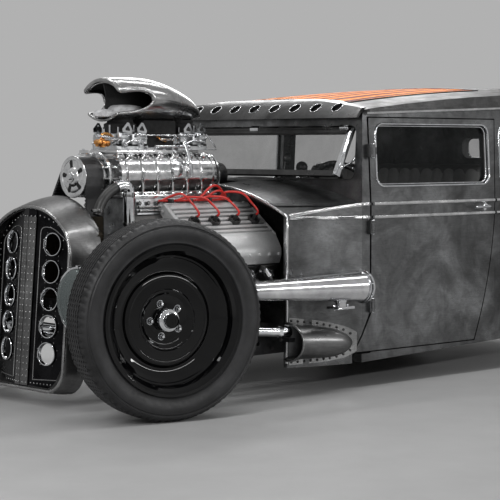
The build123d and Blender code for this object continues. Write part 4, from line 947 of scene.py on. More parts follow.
# Blower: lobed case with cast ribs, flanges, end plates and bolts.
BLOWER_FRONT, BLOWER_REAR = 215, 704
BLOWER_LOW, BLOWER_TOP = 762, 948
AXIS_Z, CASE_END, LOBE_Y, LOBE_Z = 845, 699, 86, 855
case = Piece("blower_case", blower_alloy, "alloy")


def case_outline(swell):
    """Half outline of the case from its top flange down to its bottom one."""
    points = []
    for k in range(19):
        a = math.radians(82 - 164 * k / 18)
        points.append((LOBE_Y + (70 + swell) * math.cos(a), LOBE_Z + (76 + swell * 0.5) * math.sin(a)))
    return points


def case_loop(swell):
    half = case_outline(swell)
    return half + [(-y, z) for y, z in reversed(half)]


RIB_PITCH, RIB_PROUD = 76, 8
rows = [(BLOWER_FRONT + 4, 0)]
for k in range(6):
    s0 = BLOWER_FRONT + 30 + RIB_PITCH * k
    rows += [(s0, 0), (s0 + 2, RIB_PROUD), (s0 + 9, RIB_PROUD), (s0 + 11, 0)]
rows += [(BLOWER_REAR - 4, 0)]
verts = []
for s, swell in rows:
    verts += [at(s, y, z) for y, z in case_loop(swell)]
case.add(verts, grid(len(rows), len(verts) // len(rows), True))
length = (BLOWER_REAR - BLOWER_FRONT) / 1000
middle_s = (BLOWER_REAR + BLOWER_FRONT) / 2
for s, z, short, wide, high, bevel in (
    (middle_s - 25, BLOWER_TOP - 7, 0.07, 0.236, 0.014, 0.003),
    (middle_s - 25, BLOWER_TOP - 17, 0.09, 0.206, 0.012, 0.004),
    (middle_s, BLOWER_LOW + 7, 0, 0.328, 0.014, 0.003),
    (middle_s, BLOWER_LOW + 19, 0.02, 0.286, 0.014, 0.004),
):
    case.brick(at(s, 0, z), FORWARD, ACROSS, (length - short, wide, high), bevel)
loop = case_loop(6)
for s in (BLOWER_FRONT + 6, BLOWER_REAR - 6):
    ring = [at(s + d, y, z) for d in (-6, 6) for y, z in loop]
    case.add(ring, grid(2, len(loop), True) + lids(2, len(loop), True))
for end, way, big in ((206, FORWARD, 62), (724, -FORWARD, 80)):
    case.lathe(at(end, 0, AXIS_Z), way, [(big, -14), (big, 0), (big - 6, 8), (big - 12, 14)], 48)
case.lathe(at(BLOWER_FRONT, 0, AXIS_Z), FORWARD, [(62, 0), (60, 8), (54, 16), (50, 23)], 48)
# Rear housing in dark iron, and dark iron patches in the bays of the case's lower half, which are painted
# shade.
recesses = Piece("blower_housing_and_recess_shade", iron, "engine_iron")
housing = [(80, 0), (80, 14), (70, 30), (58, 42), (56, 120), (50, 168), (0.1, 170)]
recesses.lathe(at(CASE_END, 0, AXIS_Z), -FORWARD, housing, 48)
for side in (1, -1):
    for k in range(7):
        s0 = BLOWER_FRONT + 42 + RIB_PITCH * (k - 1)
        first, last = max(s0, BLOWER_FRONT + 16) + 6, min(s0 + 64, BLOWER_REAR - 14) - 4
        # Dark patch on the lower case between two webs: painted shade.
        turns = [math.radians(a) for a in range(-72, -13, 6)]
        arc = [(LOBE_Y + 71.2 * math.cos(a), LOBE_Z + 77 * math.sin(a)) for a in turns]
        recesses.add([at(s, side * y, z) for s in (first, last) for y, z in arc], grid(2, len(arc)))
        if k < 6:
            case.brick(at(s0 + 69, side * 143, 808), FORWARD, ACROSS, (0.011, 0.026, 0.066), 0.003)
        case.lathe(
            at((first + last) / 2, side * 120, 926), Vector((0, side * 0.55, 0.83)),
            [(17, -6), (17, 5), (13, 9), (0.1, 9)], 24,
        )
    for k in range(6):
        a = math.radians(-58 + 27 * k)
        way = Vector((0, side * math.cos(a), math.sin(a)))
        case.brick(at(196, 0, AXIS_Z) + way * 0.074, FORWARD, way, (0.036, 0.040, 0.006), 0.0015)
recesses.done(60)
case.done(38, ("blower",))

BOLT_PITCH = 46.5
bolts = Piece("blower_bolts", chrome, "chrome_trim")
for side in (1, -1):
    out = ACROSS * side
    for k in range(12):
        s = 240 + BOLT_PITCH * k
        for short, y, z in ((60, 110, BLOWER_TOP), (10, 156, BLOWER_LOW + 14)):
            if s < BLOWER_REAR - short:
                bolts.nut(at(s, side * y, z), UP, 0.0062, 0.0055)
for cos, sin in circle(8):
    bolts.nut(at(213.5, 86 * cos, AXIS_Z + 86 * sin), FORWARD, 0.006, 0.007)
for side in (1, -1):
    for k in range(7):
        y, z = case_outline(0)[2 + 2 * k]
        for s, way in ((BLOWER_FRONT, FORWARD), (BLOWER_REAR, -FORWARD)):
            bolts.nut(at(s, side * (y - 6), z), way, 0.0058, 0.006)
bolts.done(30)

plates = Piece("blower_plates", alloy, "alloy")
plates.lathe(
    at(BLOWER_FRONT, 0, AXIS_Z), FORWARD,
    [(98, 0), (98, 3), (95, 6), (70, 7), (66, 14), (62, 18), (56, 19)], 56,
)
plates.lathe(at(780, 0, AXIS_Z), -FORWARD, [(92, 0), (92, 6), (86, 9), (60, 10)], 56)
for side in (1, -1):
    plates.lathe(at(497, side * 150, 868), ACROSS * side, [(26, 0), (26, 13), (22, 16), (0.1, 17)], 32)
plates.done(35)

LOW_PULLEYS = ((0, 300, 75), (-175, 610, 42))
PULLEY_FRONT, PULLEY_REAR, BELT_S, PULLEY_R = 104, 192, 148, 74
pulley = Piece("blower_pulley", alloy, "alloy")
front = at(PULLEY_FRONT, 0, AXIS_Z)
pulley.lathe(
    front, FORWARD,
    [
        (74, -3), (80.5, -2.2), (81, 0), (80, 1), (66, 1.2), (63, -1), (60, 0.5), (38, 1), (35, 4), (30, 8),
        (20, 9), (18, 12), (0.1, 13),
    ],
    72,
)
pulley.lathe(at(PULLEY_REAR, 0, AXIS_Z), FORWARD, [(PULLEY_R, 0), (81, 0.4), (81, 2), (PULLEY_R, 2.4)], 72)
for cos, sin in circle(6):
    pulley.nut(front + Vector((0.004, 0.026 * cos, 0.026 * sin)), FORWARD, 0.005, 0.006)
pulley.nut(front + Vector((0.012, 0, 0)), FORWARD, 0.012, 0.009)
for y, z, radius in LOW_PULLEYS:
    face = at(PULLEY_FRONT, y, z)
    pulley.lathe(
        face, FORWARD,
        [
            (radius, -3), (radius + 6.5, -2.2), (radius + 7, 0), (radius - 6, 1), (radius - 10, -2),
            (24, -1), (20, 5), (0.1, 6),
        ],
        56,
    )
    pulley.lathe(
        at(PULLEY_REAR, y, z), FORWARD, [(radius, 0), (radius + 7, 0.4), (radius + 7, 2), (radius, 2.4)],
        56,
    )
    for cos, sin in circle(5):
        pulley.nut(face + Vector((0.003, 0.014 * cos, 0.014 * sin)), FORWARD, 0.0045, 0.005)
pulley.done(35)
# Dark patches laid on the pulley's face where its windows are, with no holes cut: painted shade.
windows = Piece("blower_pulley_window_shade", black_and_shade, "black_trim")
for cos, sin in circle(5, 0.5):
    way = Vector((0, cos, sin))
    windows.brick(front + Vector((0.0008, 0, 0)) + way * 0.043, way, FORWARD, (0.030, 0.003, 0.015), 0.001)
    windows.dome(front + Vector((0.0009, 0, 0)) + way * 0.056, FORWARD, 0.0095, 0.0014, 20)
windows.done(60)

RUNS = ((0, AXIS_Z, PULLEY_R), *LOW_PULLEYS)
TOOTH_PITCH = 12.0


def belt_point(angle, out):
    """Point of the taut loop round the pulleys whose outward direction has this angle."""
    u = (math.cos(angle), math.sin(angle))
    y, z, radius = max(RUNS, key=lambda c: c[0] * u[0] + c[1] * u[1] + c[2])
    return Vector((0, y + (radius + out) * u[0], z + (radius + out) * u[1]))


path = [belt_point(math.radians(k), 0.3) for k in range(360)]
teeth = Piece("blower_belt_teeth", belt_rubber, "belt_rubber")
travel = 0.0
for a, b in zip(path, path[1:] + path[:1]):
    run = (b - a).length
    while run > 1e-6 and travel < run:
        spot = a + (b - a) * (travel / run)
        way = (b - a).normalized()
        inward = Vector((0, -way.z, way.y))
        centre = at(BELT_S, spot.y, spot.z) + inward * 0.0022
        teeth.brick(centre, FORWARD, way, (0.084, 0.0062, 0.0052))
        travel += TOOTH_PITCH
    travel -= run
teeth.done(35)

# Carburettors: bowls, screws, air horns, throttle arms, levers and the brass inlet.
carbs = Piece("carburetor_bodies", cast_alloy, "alloy")
fittings = Piece("carburetor_linkage", chrome, "chrome_trim")
copper = Piece("fuel_fittings", brass, "brass_parts")
# Dark sleeves round the air horns, a dark block between the carburettors, dark strips along their feet and
# dark patches on the throttle arms: painted shade.
shade = Piece("carburetor_painted_shade", black_and_shade, "black_trim")


def plate(piece, outline, y, thick):
    """Flat plate of a (station, height) outline, set across the car."""
    n = len(outline)
    ring = [at(s, y + d, z) for d in (-thick / 2, thick / 2) for s, z in outline]
    piece.add(ring, grid(2, n, True) + lids(2, n, True))


CARB_STATIONS, STUD_RING, LINK_Y = (337, 650), 67, 97
ARM = ((-24, -14), (20, -20), (24, -8), (6, 26), (-4, 28), (-26, 2))
for s in CARB_STATIONS:
    for end in (-1, 1):
        middle = at(s + end * 87, 0, 987)
        carbs.brick(middle + FORWARD * (end * 0.003), ACROSS, UP, (0.112, 0.036, 0.012), 0.004)
        for y in (-48, 48):
            for z in (972, 1003):
                fittings.nut(at(s + end * 86, y, z), -FORWARD * end, 0.0055, 0.006)
        copper.nut(at(s + end * 86, 0, 980), -FORWARD * end, 0.008, 0.008)
        for side in (1, -1):
            out = ACROSS * side
            carbs.brick(at(s + end * 40, side * 70, 1002), FORWARD, UP, (0.056, 0.034, 0.014), 0.004)
            carbs.lathe(at(s + end * 40, side * 72, 974), out, [(16, 0), (16, 8), (11, 12), (0.1, 12)], 18)
            fittings.nut(at(s + end * 40, side * 84, 974), out, 0.007, 0.008)
            fittings.nut(at(s + end * 62, side * 76, 994), out, 0.0055, 0.012)
            fittings.dome(at(s + end * 20, side * 78, 1006), out, 0.007, 0.006)
            pin = s + end * 36
            plate(fittings, [(pin + a, 1030 + 0.9 * b) for a, b in ARM], side * 92, 3.2)
            # Dark patch in the middle of the throttle arm: painted shade.
            plate(shade, [(pin + 0.45 * a - 1, 1030 + 0.4 * b) for a, b in ARM], side * 92, 4.2)
            fittings.rod(at(pin - 2, side * 66, 1012), at(pin - 2, side * 96, 1012), 0.0052)
    for y in (-62, 62):
        for d in (-64, 64):
            fittings.nut(at(s + d, y, 966), UP, 0.0075, 0.009)
            fittings.rod(at(s + d, y, 974), at(s + d, y, 984), 0.0035)
    # Dark sleeve from the air horn up to the scoop: painted shade.
    shade.lathe(
        at(s, 0, 1012), UP, [(64, 0), (65, 5), (62, 9), (62, 24), (64, 27), (64, 38), (52, 44), (50, 56)],
        56,
    )
    for k, (cos, sin) in enumerate(circle(12, math.pi / 12)):
        x, y = s + STUD_RING * cos, STUD_RING * sin
        fittings.rod(at(x, y, 1008), at(x, y, 1030 + 8 * (k % 3)), 0.0042)
    for side in (1, -1):
        fittings.rod(at(s, side * 60, 1000), at(s, side * 92, 1000), 0.0045)
        carbs.brick(at(s + 4, side * 90, 990), FORWARD, UP, (0.034, 0.040, 0.0035), 0.0012)
        # Dark strip along the carburettor's foot: painted shade.
        shade.brick(at(s, side * 66, 968), FORWARD, UP, (0.152, 0.010, 0.020), 0.002)
        fittings.tube(
            places(side, (s - 60, 99, 972), (s - 20, 104, 985), (s + 40, 102, 978)), 0.0042, 10, 5,
        )
for s in (440, 547):
    carbs.brick(at(s, 0, 984), ACROSS, UP, (0.104, 0.056, 0.040), 0.008)
# Dark block filling the gap between the two carburettors: painted shade.
shade.brick(at(493, 0, 1013), FORWARD, ACROSS, (0.17, 0.116, 0.106), 0.008)
for side in (1, -1):
    fittings.rod(at(345, side * LINK_Y, 1006), at(658, side * LINK_Y, 1006), 0.003)
    for s in (345, 500, 658):
        fittings.dome(at(s, side * LINK_Y, 1006), ACROSS * side, 0.008, 0.008)
        fittings.nut(at(s + 14, side * LINK_Y, 1006), FORWARD, 0.0065, 0.012)
    fittings.rod(at(420, side * 116, 962), at(600, side * 116, 962), 0.0062)
    for s in (424, 510, 596):
        fittings.rod(at(s, side * 116, 953), at(s, side * 116, 964), 0.005)
    copper.tube(
        places(side, (478, 58, 1000), (486, 74, 990), (508, 74, 984), (516, 58, 980)), 0.0055, 10, 5,
    )
    turns = [(k, k * 0.7) for k in range(130)]
    helix = [at(470 + 0.55 * k, side * 90 + 5.5 * math.cos(a), 990 + 5.5 * math.sin(a)) for k, a in turns]
    fittings.tube(helix, 0.0011, 6, 1)
    fittings.tube(
        places(side, (545, 100, 1004), (550, 138, 975), (560, 163, 905), (566, 163, 850)), 0.008, 12, 6,
    )
    fittings.nut(at(549, side * 132, 980), UP, 0.012, 0.012)
    fittings.tube(
        places(side, (722, 78, 1010), (762, 84, 966), (770, 84, 950), (700, 90, 950)), 0.0028, 8, 1,
    )
copper.lathe(
    at(190, 92, 974), FORWARD,
    [
        (0.1, -18), (11, -17), (13, -12), (13, 2), (9, 4), (9, 8), (15, 10), (15, 22), (10, 24), (10, 32),
        (13, 34), (13, 42), (0.1, 43),
    ],
    20,
)
copper.lathe(at(174, 92, 974), UP, [(9, -16), (12, -14), (12, 17), (7, 21), (0.1, 22)], 6)
copper.lathe(at(154, 92, 978), ACROSS, [(0.1, -17), (8, -16), (12, -13), (12, 13), (7, 18), (0.1, 19)], 6)
copper.tube(places(1, (174, 92, 992), (182, 84, 1008), (216, 76, 1010), (252, 58, 998)), 0.0062, 12, 6)
fittings.rod(at(206, 92, 974), at(262, 58, 985), 0.008)
fittings.tube(places(1, (146, 100, 1003), (206, 98, 996), (272, 90, 988)), 0.005, 10, 5)
carbs.done(32)
fittings.done(40)
copper.done(35)
shade.done(35)

# Scoop: skin with an open mouth on each side, a dark lining of painted shade, rolled lips and filters.
SCOOP_ROWS = (
    (165, 1117, 50, 66), (250, 1141, 80, 122), (350, 1147, 85, 150), (460, 1145, 81, 150),
    (580, 1128, 64, 125), (670, 1106, 40, 88), (722, 1084, 10, 40),
)
SCOOP_FRONT, SCOOP_TAIL, MOUTH_REAR, MOUTH_Z, MOUTH_FADE = 252, 722, 388, 1142, 150
ARC_STEPS = 40
LIP_IN = 3.0


def scoop_row(s):
    """Middle height, half height and half width of the scoop, on a smooth line through its rows."""
    for i in range(len(SCOOP_ROWS) - 1):
        if s <= SCOOP_ROWS[i + 1][0]:
            break
    p1, p2 = SCOOP_ROWS[i], SCOOP_ROWS[i + 1]
    p0 = SCOOP_ROWS[max(0, i - 1)]
    p3 = SCOOP_ROWS[min(len(SCOOP_ROWS) - 1, i + 2)]
    h = p2[0] - p1[0]
    t = (s - p1[0]) / h
    leave, rise = 2 * t ** 3 - 3 * t ** 2 + 1, t ** 3 - 2 * t ** 2 + t
    reach, settle = 3 * t ** 2 - 2 * t ** 3, t ** 3 - t ** 2
    out = []
    for k in (1, 2, 3):
        m1 = (p2[k] - p0[k]) / (p2[0] - p0[0]) * h
        m2 = (p3[k] - p1[k]) / (p3[0] - p1[0]) * h
        out.append(leave * p1[k] + rise * m1 + reach * p2[k] + settle * m2)
    return out


LOWER_LIP = ((165, 1083.8), (212, 1085), (271, 1090), (335, 1100), (372, 1119), (388, 1142))
UPPER_LIP = ((165, 1152), (190, 1158), (250, 1176), (322, 1182), (362, 1175), (382, 1159), (388, 1142))
lip_curves = [
    [(p.x, p.y) for p in smooth_line([(s, z, 0) for s, z in table], 8)]
    for table in (LOWER_LIP, UPPER_LIP)
]


def scoop_arc(s, inset, upper):
    """Points over the top or under the bottom of a section, from its left lip to its right one."""
    middle, high, wide = scoop_row(s)
    high, wide = max(2.0, high - inset), max(2.0, wide - inset)
    if s < MOUTH_REAR:
        split = between(lip_curves[1 if upper else 0], s)[0]
    else:
        split = middle + (MOUTH_Z - middle) * max(0, 1 - (s - MOUTH_REAR) / MOUTH_FADE)
    start = math.asin(max(-0.999, min(0.999, (split - middle) / high)))
    span = math.pi - 2 * start if upper else -math.pi - 2 * start
    angles = [start + span * k / ARC_STEPS for k in range(ARC_STEPS + 1)]
    return [at(s, wide * math.cos(a), middle + high * math.sin(a)) for a in angles]


def scoop_skin(name, look, slot, inset, replaces=()):
    skin = Piece(name, look, slot)
    stations = [SCOOP_FRONT + (MOUTH_REAR - SCOOP_FRONT) * (1 - (1 - k / 36) ** 1.6) for k in range(37)]
    stations += [MOUTH_REAR + (SCOOP_TAIL - MOUTH_REAR) * k / 44 for k in range(1, 45)]
    for upper in (True, False):
        arcs = [scoop_arc(s, inset, upper) for s in stations]
        skin.add([p for arc in arcs for p in arc], grid(len(arcs), ARC_STEPS + 1))
    tail = scoop_arc(SCOOP_TAIL, inset, True) + scoop_arc(SCOOP_TAIL, inset, False)[::-1][1:-1]
    skin.add(tail, [tuple(range(len(tail)))])
    skin.done(50, replaces)


scoop_skin("scoop_skin", scoop_steel, "raw_body", 0, ("scoop",))
# Dark inner skin: painted shade inside the scoop.
scoop_skin("scoop_shade_lining", black_and_shade, "black_trim", 7)
lip = Piece("scoop_lip", scoop_steel, "raw_body")


def lip_points(curve, side):
    points = []
    for s, z in curve:
        if s >= SCOOP_FRONT:
            middle, high, wide = scoop_row(s)
            share = math.sqrt(max(0.0, 1 - ((z - middle) / high) ** 2))
            points.append(at(s, side * ((wide - LIP_IN) * share), z))
    return points


for index, radius in ((1, 0.0105), (0, 0.006)):
    front = scoop_arc(SCOOP_FRONT, 3.5, index == 1)
    left = lip_points(lip_curves[index], 1)
    lip.tube(left[::-1] + front[1:-1] + lip_points(lip_curves[index], -1), radius, 12, 1)
lip.done(60)

# Dark wall down the middle of the scoop, closing the view through its mouths: painted shade.
vane = Piece("scoop_shade_wall", black_and_shade, "black_trim")
VANE_STEPS, VANE_COLUMNS, VANE_HALF, VANE_REAR = 14, 7, 2.2, 470


def vane_z(s, share):
    middle, high, _ = scoop_row(s)
    return middle + (high - 5) * (2 * share - 1)


edge_line = []
for j in range(VANE_STEPS + 1):
    nose = SCOOP_FRONT + 16 * math.sin(math.pi * j / VANE_STEPS)
    edge_line.append((nose, vane_z(nose, j / VANE_STEPS)))
for side in (1, -1):
    verts = []
    for column in range(VANE_COLUMNS):
        for j, (nose, z) in enumerate(edge_line):
            s = nose + (VANE_REAR - nose) * column / (VANE_COLUMNS - 1)
            verts.append(at(s, side * VANE_HALF, vane_z(s, j / VANE_STEPS)))
    vane.add(verts, grid(VANE_COLUMNS, VANE_STEPS + 1))
vane.tube([at(s, 0, z) for s, z in edge_line], 0.0034, 10, 1)
vane.done(50)

filters = Piece("scoop_filters", blade_white, "black_trim")


def pleats(i, j, radius, along):
    """Zigzag wall of a filter."""
    return (radius + (0.0016 if i % 2 else -0.0016) if 0 < j < 5 else radius), along


for s, r, z, tall in ((262, 46, 1076, 30), (352, 82, 1074, 50)):
    profile = [
        (r - 6, 0), (r, 3), (r, tall * 0.5), (r - 5, tall * 0.72), (r - 16, tall * 0.9), (r - 34, tall),
        (0.1, tall + 2),
    ]
    filters.lathe(at(s, 0, z), UP, profile, 88, wobble=pleats)
filters.done(60)

# Valve covers with long fins, plug surrounds, boots and leads.
COVER_OUT = Vector((0, 126, 164)).normalized()
COVER_DOWN = Vector((0, 164, -126)).normalized()
COVER_FRONT, COVER_REAR, FIN_PITCH, FIN_HALF, FIN_HIGH = 400, 850, 25, 8.2, 7


def on_slope(down, out):
    p = Vector((0, 186, 738)) + COVER_DOWN * down + COVER_OUT * out
    return p.y, p.z


def cover_section(high):
    points = [(168, 700), (166, 722), (186, 738)]
    for k in range(7):
        middle = 30 + FIN_PITCH * k
        for down, out in ((-FIN_HALF, 0), (1.5 - FIN_HALF, high), (FIN_HALF - 1.5, high), (FIN_HALF, 0)):
            points.append(on_slope(middle + down, out))
    return points + [(350, 612), (372, 576), (382, 560), (384, 530), (372, 499)]


surrounds = Piece("plug_surrounds", black_plastic, "black_trim")
leads = Piece("plug_leads", red_rubber, "red_wire")
shells = Piece("valve_cover_shells", cover_alloy, "alloy")
grooves = Piece("valve_cover_grooves", black_and_shade, "black_trim")
rows = [
    (COVER_FRONT, 0), (COVER_FRONT + 11, 0), (COVER_FRONT + 15, FIN_HIGH), (COVER_REAR - 15, FIN_HIGH),
    (COVER_REAR - 11, 0), (COVER_REAR, 0),
]
sections = [cover_section(high) for s, high in rows]
size = len(rows), len(sections[0])
verts = [at(s, y, z) for (s, high), section in zip(rows, sections) for y, z in section]
shells.add(verts, grid(*size, True) + lids(*size, True))
for k in range(6):
    middle = 30 + FIN_PITCH * (k + 0.5)
    y, z = on_slope(middle, 0.4)
    grooves.brick(at((COVER_FRONT + COVER_REAR) / 2, y, z), FORWARD, COVER_DOWN, (0.418, 0.0080, 0.0008))
for end, way in ((COVER_FRONT, FORWARD), (COVER_REAR, -FORWARD)):
    shells.brick(at(end, 268, 646) + way * 0.001, COVER_DOWN, COVER_OUT, (0.17, 0.05, 0.008), 0.003)
    for down in (18, 190):
        y, z = on_slope(down, -22)
        shells.nut(at(end, y, z) + way * 0.003, way, 0.007, 0.006)
for k in range(9):
    shells.nut(at(412 + 53 * k, 381, 536), ACROSS, 0.007, 0.010)
    shells.nut(at(412 + 53 * k, 178, 731), UP, 0.006, 0.008)
LEADS = (
    # plug station, (station, y, z) on the way from the bundle to the boot
    (470, (392, 186, 752), (420, 205, 768), (440, 250, 778), (462, 282, 745)),
    (575, (470, 192, 754), (505, 215, 764), (545, 262, 760), (568, 286, 735)),
    (682, (575, 192, 754), (612, 215, 764), (652, 262, 760), (675, 286, 735)),
    (786, (690, 188, 757), (716, 205, 780), (756, 255, 775), (779, 286, 738)),
)
for plug, *way in LEADS:
    seat = at(plug, 283, 664)
    surrounds.lathe(
        seat + COVER_OUT * 0.006, COVER_OUT,
        [(0.1, 3), (17, 3), (17, 8), (20, 12), (24, 12), (25, 9), (25, -4)], 28,
    )
    surrounds.lathe(
        seat - COVER_OUT * 0.03, COVER_OUT, [(9, 0), (10, 30), (9, 44), (7.5, 54), (6.5, 66), (0.1, 67)],
        18,
    )
    leads.tube(
        [at(*point) for point in way] + [seat + COVER_OUT * 0.052, seat + COVER_OUT * 0.03], 0.0046, 12, 8,
    )
leads.tube(
    places(
        1, (560, 196, 750), (590, 205, 772), (622, 210, 800), (664, 205, 806), (700, 196, 784),
        (716, 190, 757),
    ),
    0.0046, 12, 8,
)
leads.tube(
    places(1, (604, 196, 752), (640, 206, 778), (676, 208, 786), (712, 200, 770), (736, 180, 756)), 0.0046,
    12, 8,
)
for lane, first in enumerate((386, 462, 566)):
    y = 170 + 9.5 * lane
    leads.tube(
        places(
            1, (first, y + 6, 752), (first + 60, y, 750), (660, y, 750), (740, y - 12, 752),
            (800, 110 + 8 * lane, 752), (815, 38, 744 + 3 * lane),
        ),
        0.0044, 12, 6,
    )
for piece in (surrounds, leads, shells, grooves):
    piece.mirrored()
for s in (440, 540, 640):
    for side in (1, -1):
        surrounds.brick(at(s, side * 180, 750), FORWARD, ACROSS, (0.012, 0.036, 0.016), 0.003)
surrounds.done(40)
leads.done(60, ("plug_wires",))
shells.done(35, ("valve_covers",))
grooves.done(35)

# Water neck, its clamps and the hose to the radiator; rods along the manifold.
tube = Piece("water_neck_tube", chrome, "chrome_trim")
tube.tube(
    places(
        1, (254, 190, 640), (240, 190, 640), (228, 190, 650), (225, 190, 680), (225, 190, 740),
        (225, 190, 782),
    ),
    0.0222, 28, 5,
)
tube.done(50, ("water_neck",))
elbow = places(1, (225, 190, 774), (224, 190, 796), (208, 189, 811), (180, 188, 812), (164, 188, 806))
lone_tube("neck_elbow", chrome, "chrome_trim", elbow, 0.0228, 24, 6)
hose = places(1, (178, 188, 811), (150, 187, 800), (116, 186, 776), (92, 185, 744), (76, 185, 704))
lone_tube("radiator_hose", black_plastic, "black_trim", hose, 0.0196, 24, 6)
neck = Piece("neck_clamps", steel_bright, "chrome_trim")
for point, way in ((at(225, 190, 668), UP), (at(225, 190, 776), UP), (at(74, 185, 724), UP)):
    neck.lathe(point, way, [(22.4, -5), (24.6, -5), (25, 0), (24.6, 5), (22.4, 5)], 36)
    neck.rod(point + Vector((0, 0.0255, -0.008)), point + Vector((0, 0.0255, 0.010)), 0.0035)
neck.lathe(at(256, 190, 640), FORWARD, [(30, 0), (30, 7), (27, 9), (22, 10), (20.4, 14)], 36)
for a in (0.6, 2.2, 3.8, 5.3):
    neck.nut(at(249, 190 + 25 * math.cos(a), 640 + 25 * math.sin(a)), FORWARD, 0.0045, 0.005)
for side in (1, -1):
    for y, z in ((168, 728), (172, 714)):
        neck.rod(at(290, side * y, z), at(398, side * y, z), 0.0055)
    for s in (300, 345, 390):
        neck.nut(at(s, side * 160, 742), (0, side * 0.9, 0.4), 0.009, 0.008)
neck.done(35)

hardware = Piece("engine_hardware", iron, "engine_iron")
bright = Piece("engine_bolts", chrome, "chrome_trim")
for port in (470, 575, 682, 786):
    out = Vector((0, 0.738, -0.674))
    seat = at(port, 351, 475)
    hardware.brick(seat + out * 0.005, FORWARD, out.cross(FORWARD), (0.078, 0.056, 0.009), 0.003)
    for d in (-31, 31):
        bright.nut(seat + FORWARD * (d / 1000) + out * 0.009, out, 0.0075, 0.008)
for k in range(6):
    bright.nut(at(430 + 78 * k, 334, 456), (0, 0.6, 0.8), 0.008, 0.008)
    hardware.lathe(
        at(440 + 80 * k, 151, 290), ACROSS, [(22, 0), (22, 3), (18, 4), (16, 1.5), (0.1, 1.5)], 24,
    )
for k in range(11):
    bright.nut(at(280 + 56 * k, 146, 200), (0, 0.3, -0.95), 0.006, 0.006)
hardware.lathe(
    at(330, 150, 250), (0, 1, -0.15), [(36, 0), (38, 6), (38, 62), (34, 72), (22, 76), (0.1, 76)], 32,
)
hardware.mirrored()
bright.mirrored()
hardware.lathe(at(255, 0, 300), FORWARD, [(118, 0), (118, 5), (110, 9), (60, 12), (46, 20), (36, 22)], 48)
hardware.brick(at(250, 0, 470), FORWARD, ACROSS, (0.012, 0.20, 0.24), 0.006)
hardware.lathe(at(246, 0, 520), FORWARD, [(62, 0), (62, 12), (52, 20), (30, 24), (18, 34), (0.1, 36)], 36)
for cos, sin in circle(10):
    bright.nut(at(250, 104 * cos, 300 + 104 * sin), FORWARD, 0.006, 0.007)
hardware.done(32)
bright.done(32)

# Exhaust clamps, end flanges and their bolts.
pipes = Piece("exhaust_trim", chrome, "exhaust_steel")
pipe_way = (at(983, 698, 415) - at(425, 660, 427)).normalized()
end = at(991, 698, 415)
pipes.lathe(end, pipe_way, [(63, -9), (66, -8), (66, -1), (64, 1), (58, 2), (55, 5), (30, 6), (0.1, 6)], 56)
pipes.lathe(at(974, 697.4, 415.2), pipe_way, [(58.6, -4), (63, -3.4), (63, 3), (60, 5)], 56)
for cos, sin in circle(5, 0.6):
    pipes.nut(
        end + pipe_way * 0.003 + (UP * cos + pipe_way.cross(UP) * sin) * 0.046, pipe_way, 0.0065, 0.008,
    )
pipes.lathe(at(425, 660, 427), -pipe_way, [(34, -3), (35.5, 0), (34, 5), (24, 11), (0.1, 14)], 40)
pipes.lathe(at(866, 694, 366), UP, [(22, -6), (25, -5), (25, 5), (22, 6)], 30)
pipes.brick(at(866, 695, 338), FORWARD, ACROSS, (0.096, 0.062, 0.006), 0.0025)
for d in (-36, 36):
    pipes.nut(at(866 + d, 695, 345.5), UP, 0.0065, 0.006)
    pipes.rod(at(866 + d, 695, 330), at(866 + d, 695, 342), 0.0035)
for landing in (468, 545, 625, 700):
    pipes.lathe(at(landing - 2, 612, 422), (0.03, 1, 0.05), [(20, -7), (22.4, -6), (22.4, 6), (20, 7)], 28)
pipes.mirrored()
pipes.done(35)

# Blister flanges with their rivets, and rolled mouths.
BLISTER_ROWS = (
    (760, 198, 76), (880, 195, 64), (930, 192.5, 55), (965, 190, 44), (990, 189, 28), (1005, 188, 14),
)
flange = Piece("blister_flanges", steel_bright, "raw_body")
knobs = Piece("blister_rivets", steel_dark, "raw_body")
rim_in, rim_out = [], []
for sign in (1, -1):
    stations = [784 + 7.5 * k for k in range(30)]
    if sign < 0:
        stations.reverse()
    for s in stations:
        middle, high = between(BLISTER_ROWS, s)
        rim_in.append((s, middle + sign * (high - 6)))
        rim_out.append((s + max(0, (s - 930) * 0.5), middle + sign * (high + 20)))
verts = []
for line, proud in ((rim_in, 0.6), (rim_in, 4.0), (rim_out, 4.0), (rim_out, 0.4)):
    verts += [at(s, cowl_y(s) + proud, z) for s, z in line]
n = len(rim_in)
flange.add(verts, grid(4, n))
for i in range(1, n - 1, 3):
    s = (rim_in[i][0] + rim_out[i][0]) / 2
    z = rim_in[i][1] * 0.42 + rim_out[i][1] * 0.58
    knobs.dome(at(s, cowl_y(s) + 4, z), (0.35, 1, 0), 0.0055, 0.0036, 10)
mouth = []
for k in range(29):
    a = math.radians(-95 + 190 * k / 28)
    mouth.append(at(759, 506 + 93 * math.cos(a), 198 + 74 * math.sin(a)))
flange.tube(mouth, 0.0048, 10, 1)
flange.mirrored()
knobs.mirrored()
flange.done(40)
knobs.done(60)

# Hinge pins' caps, belt and drip mouldings and the cowl's rolled front edge.
hinges = Piece("hinge_caps", chrome, "chrome_trim")
HINGE_S, DRIP_Z, DRIP_SLOPE = 1108, 1098, 0.037
for height in (945, 642, 330):
    for way in (1, -1):
        hinges.dome(at(HINGE_S, 640, height + 26 * way), UP * way, 0.0095, 0.005, 16)
hinges.mirrored()
hinges.done(50)
BEAD_FORM = [
    (-0.002, -0.008), (0.005, -0.0074), (0.0082, -0.0045), (0.0092, 0), (0.0082, 0.0045), (0.005, 0.0074),
    (-0.002, 0.008),
]
DRIP_FORM = [
    (-0.002, -0.006), (0.011, -0.008), (0.014, -0.004), (0.0135, 0.002), (0.009, 0.003), (0.006, 0.007),
    (-0.002, 0.009),
]
BELTS = (681, BELT_Z)


def side_run(first, last, z, side):
    """Points along the skin of one side, front to back on the left and back to front on the right."""
    count = max(2, int((last - first) / 30))
    stations = [first + (last - first) * k / count for k in range(count + 1)]
    heights = [z if isinstance(z, (int, float)) else z(s) for s in stations]
    points = [at(s, side * skin_y(s, h), h) for s, h in zip(stations, heights)]
    return points if side > 0 else points[::-1]


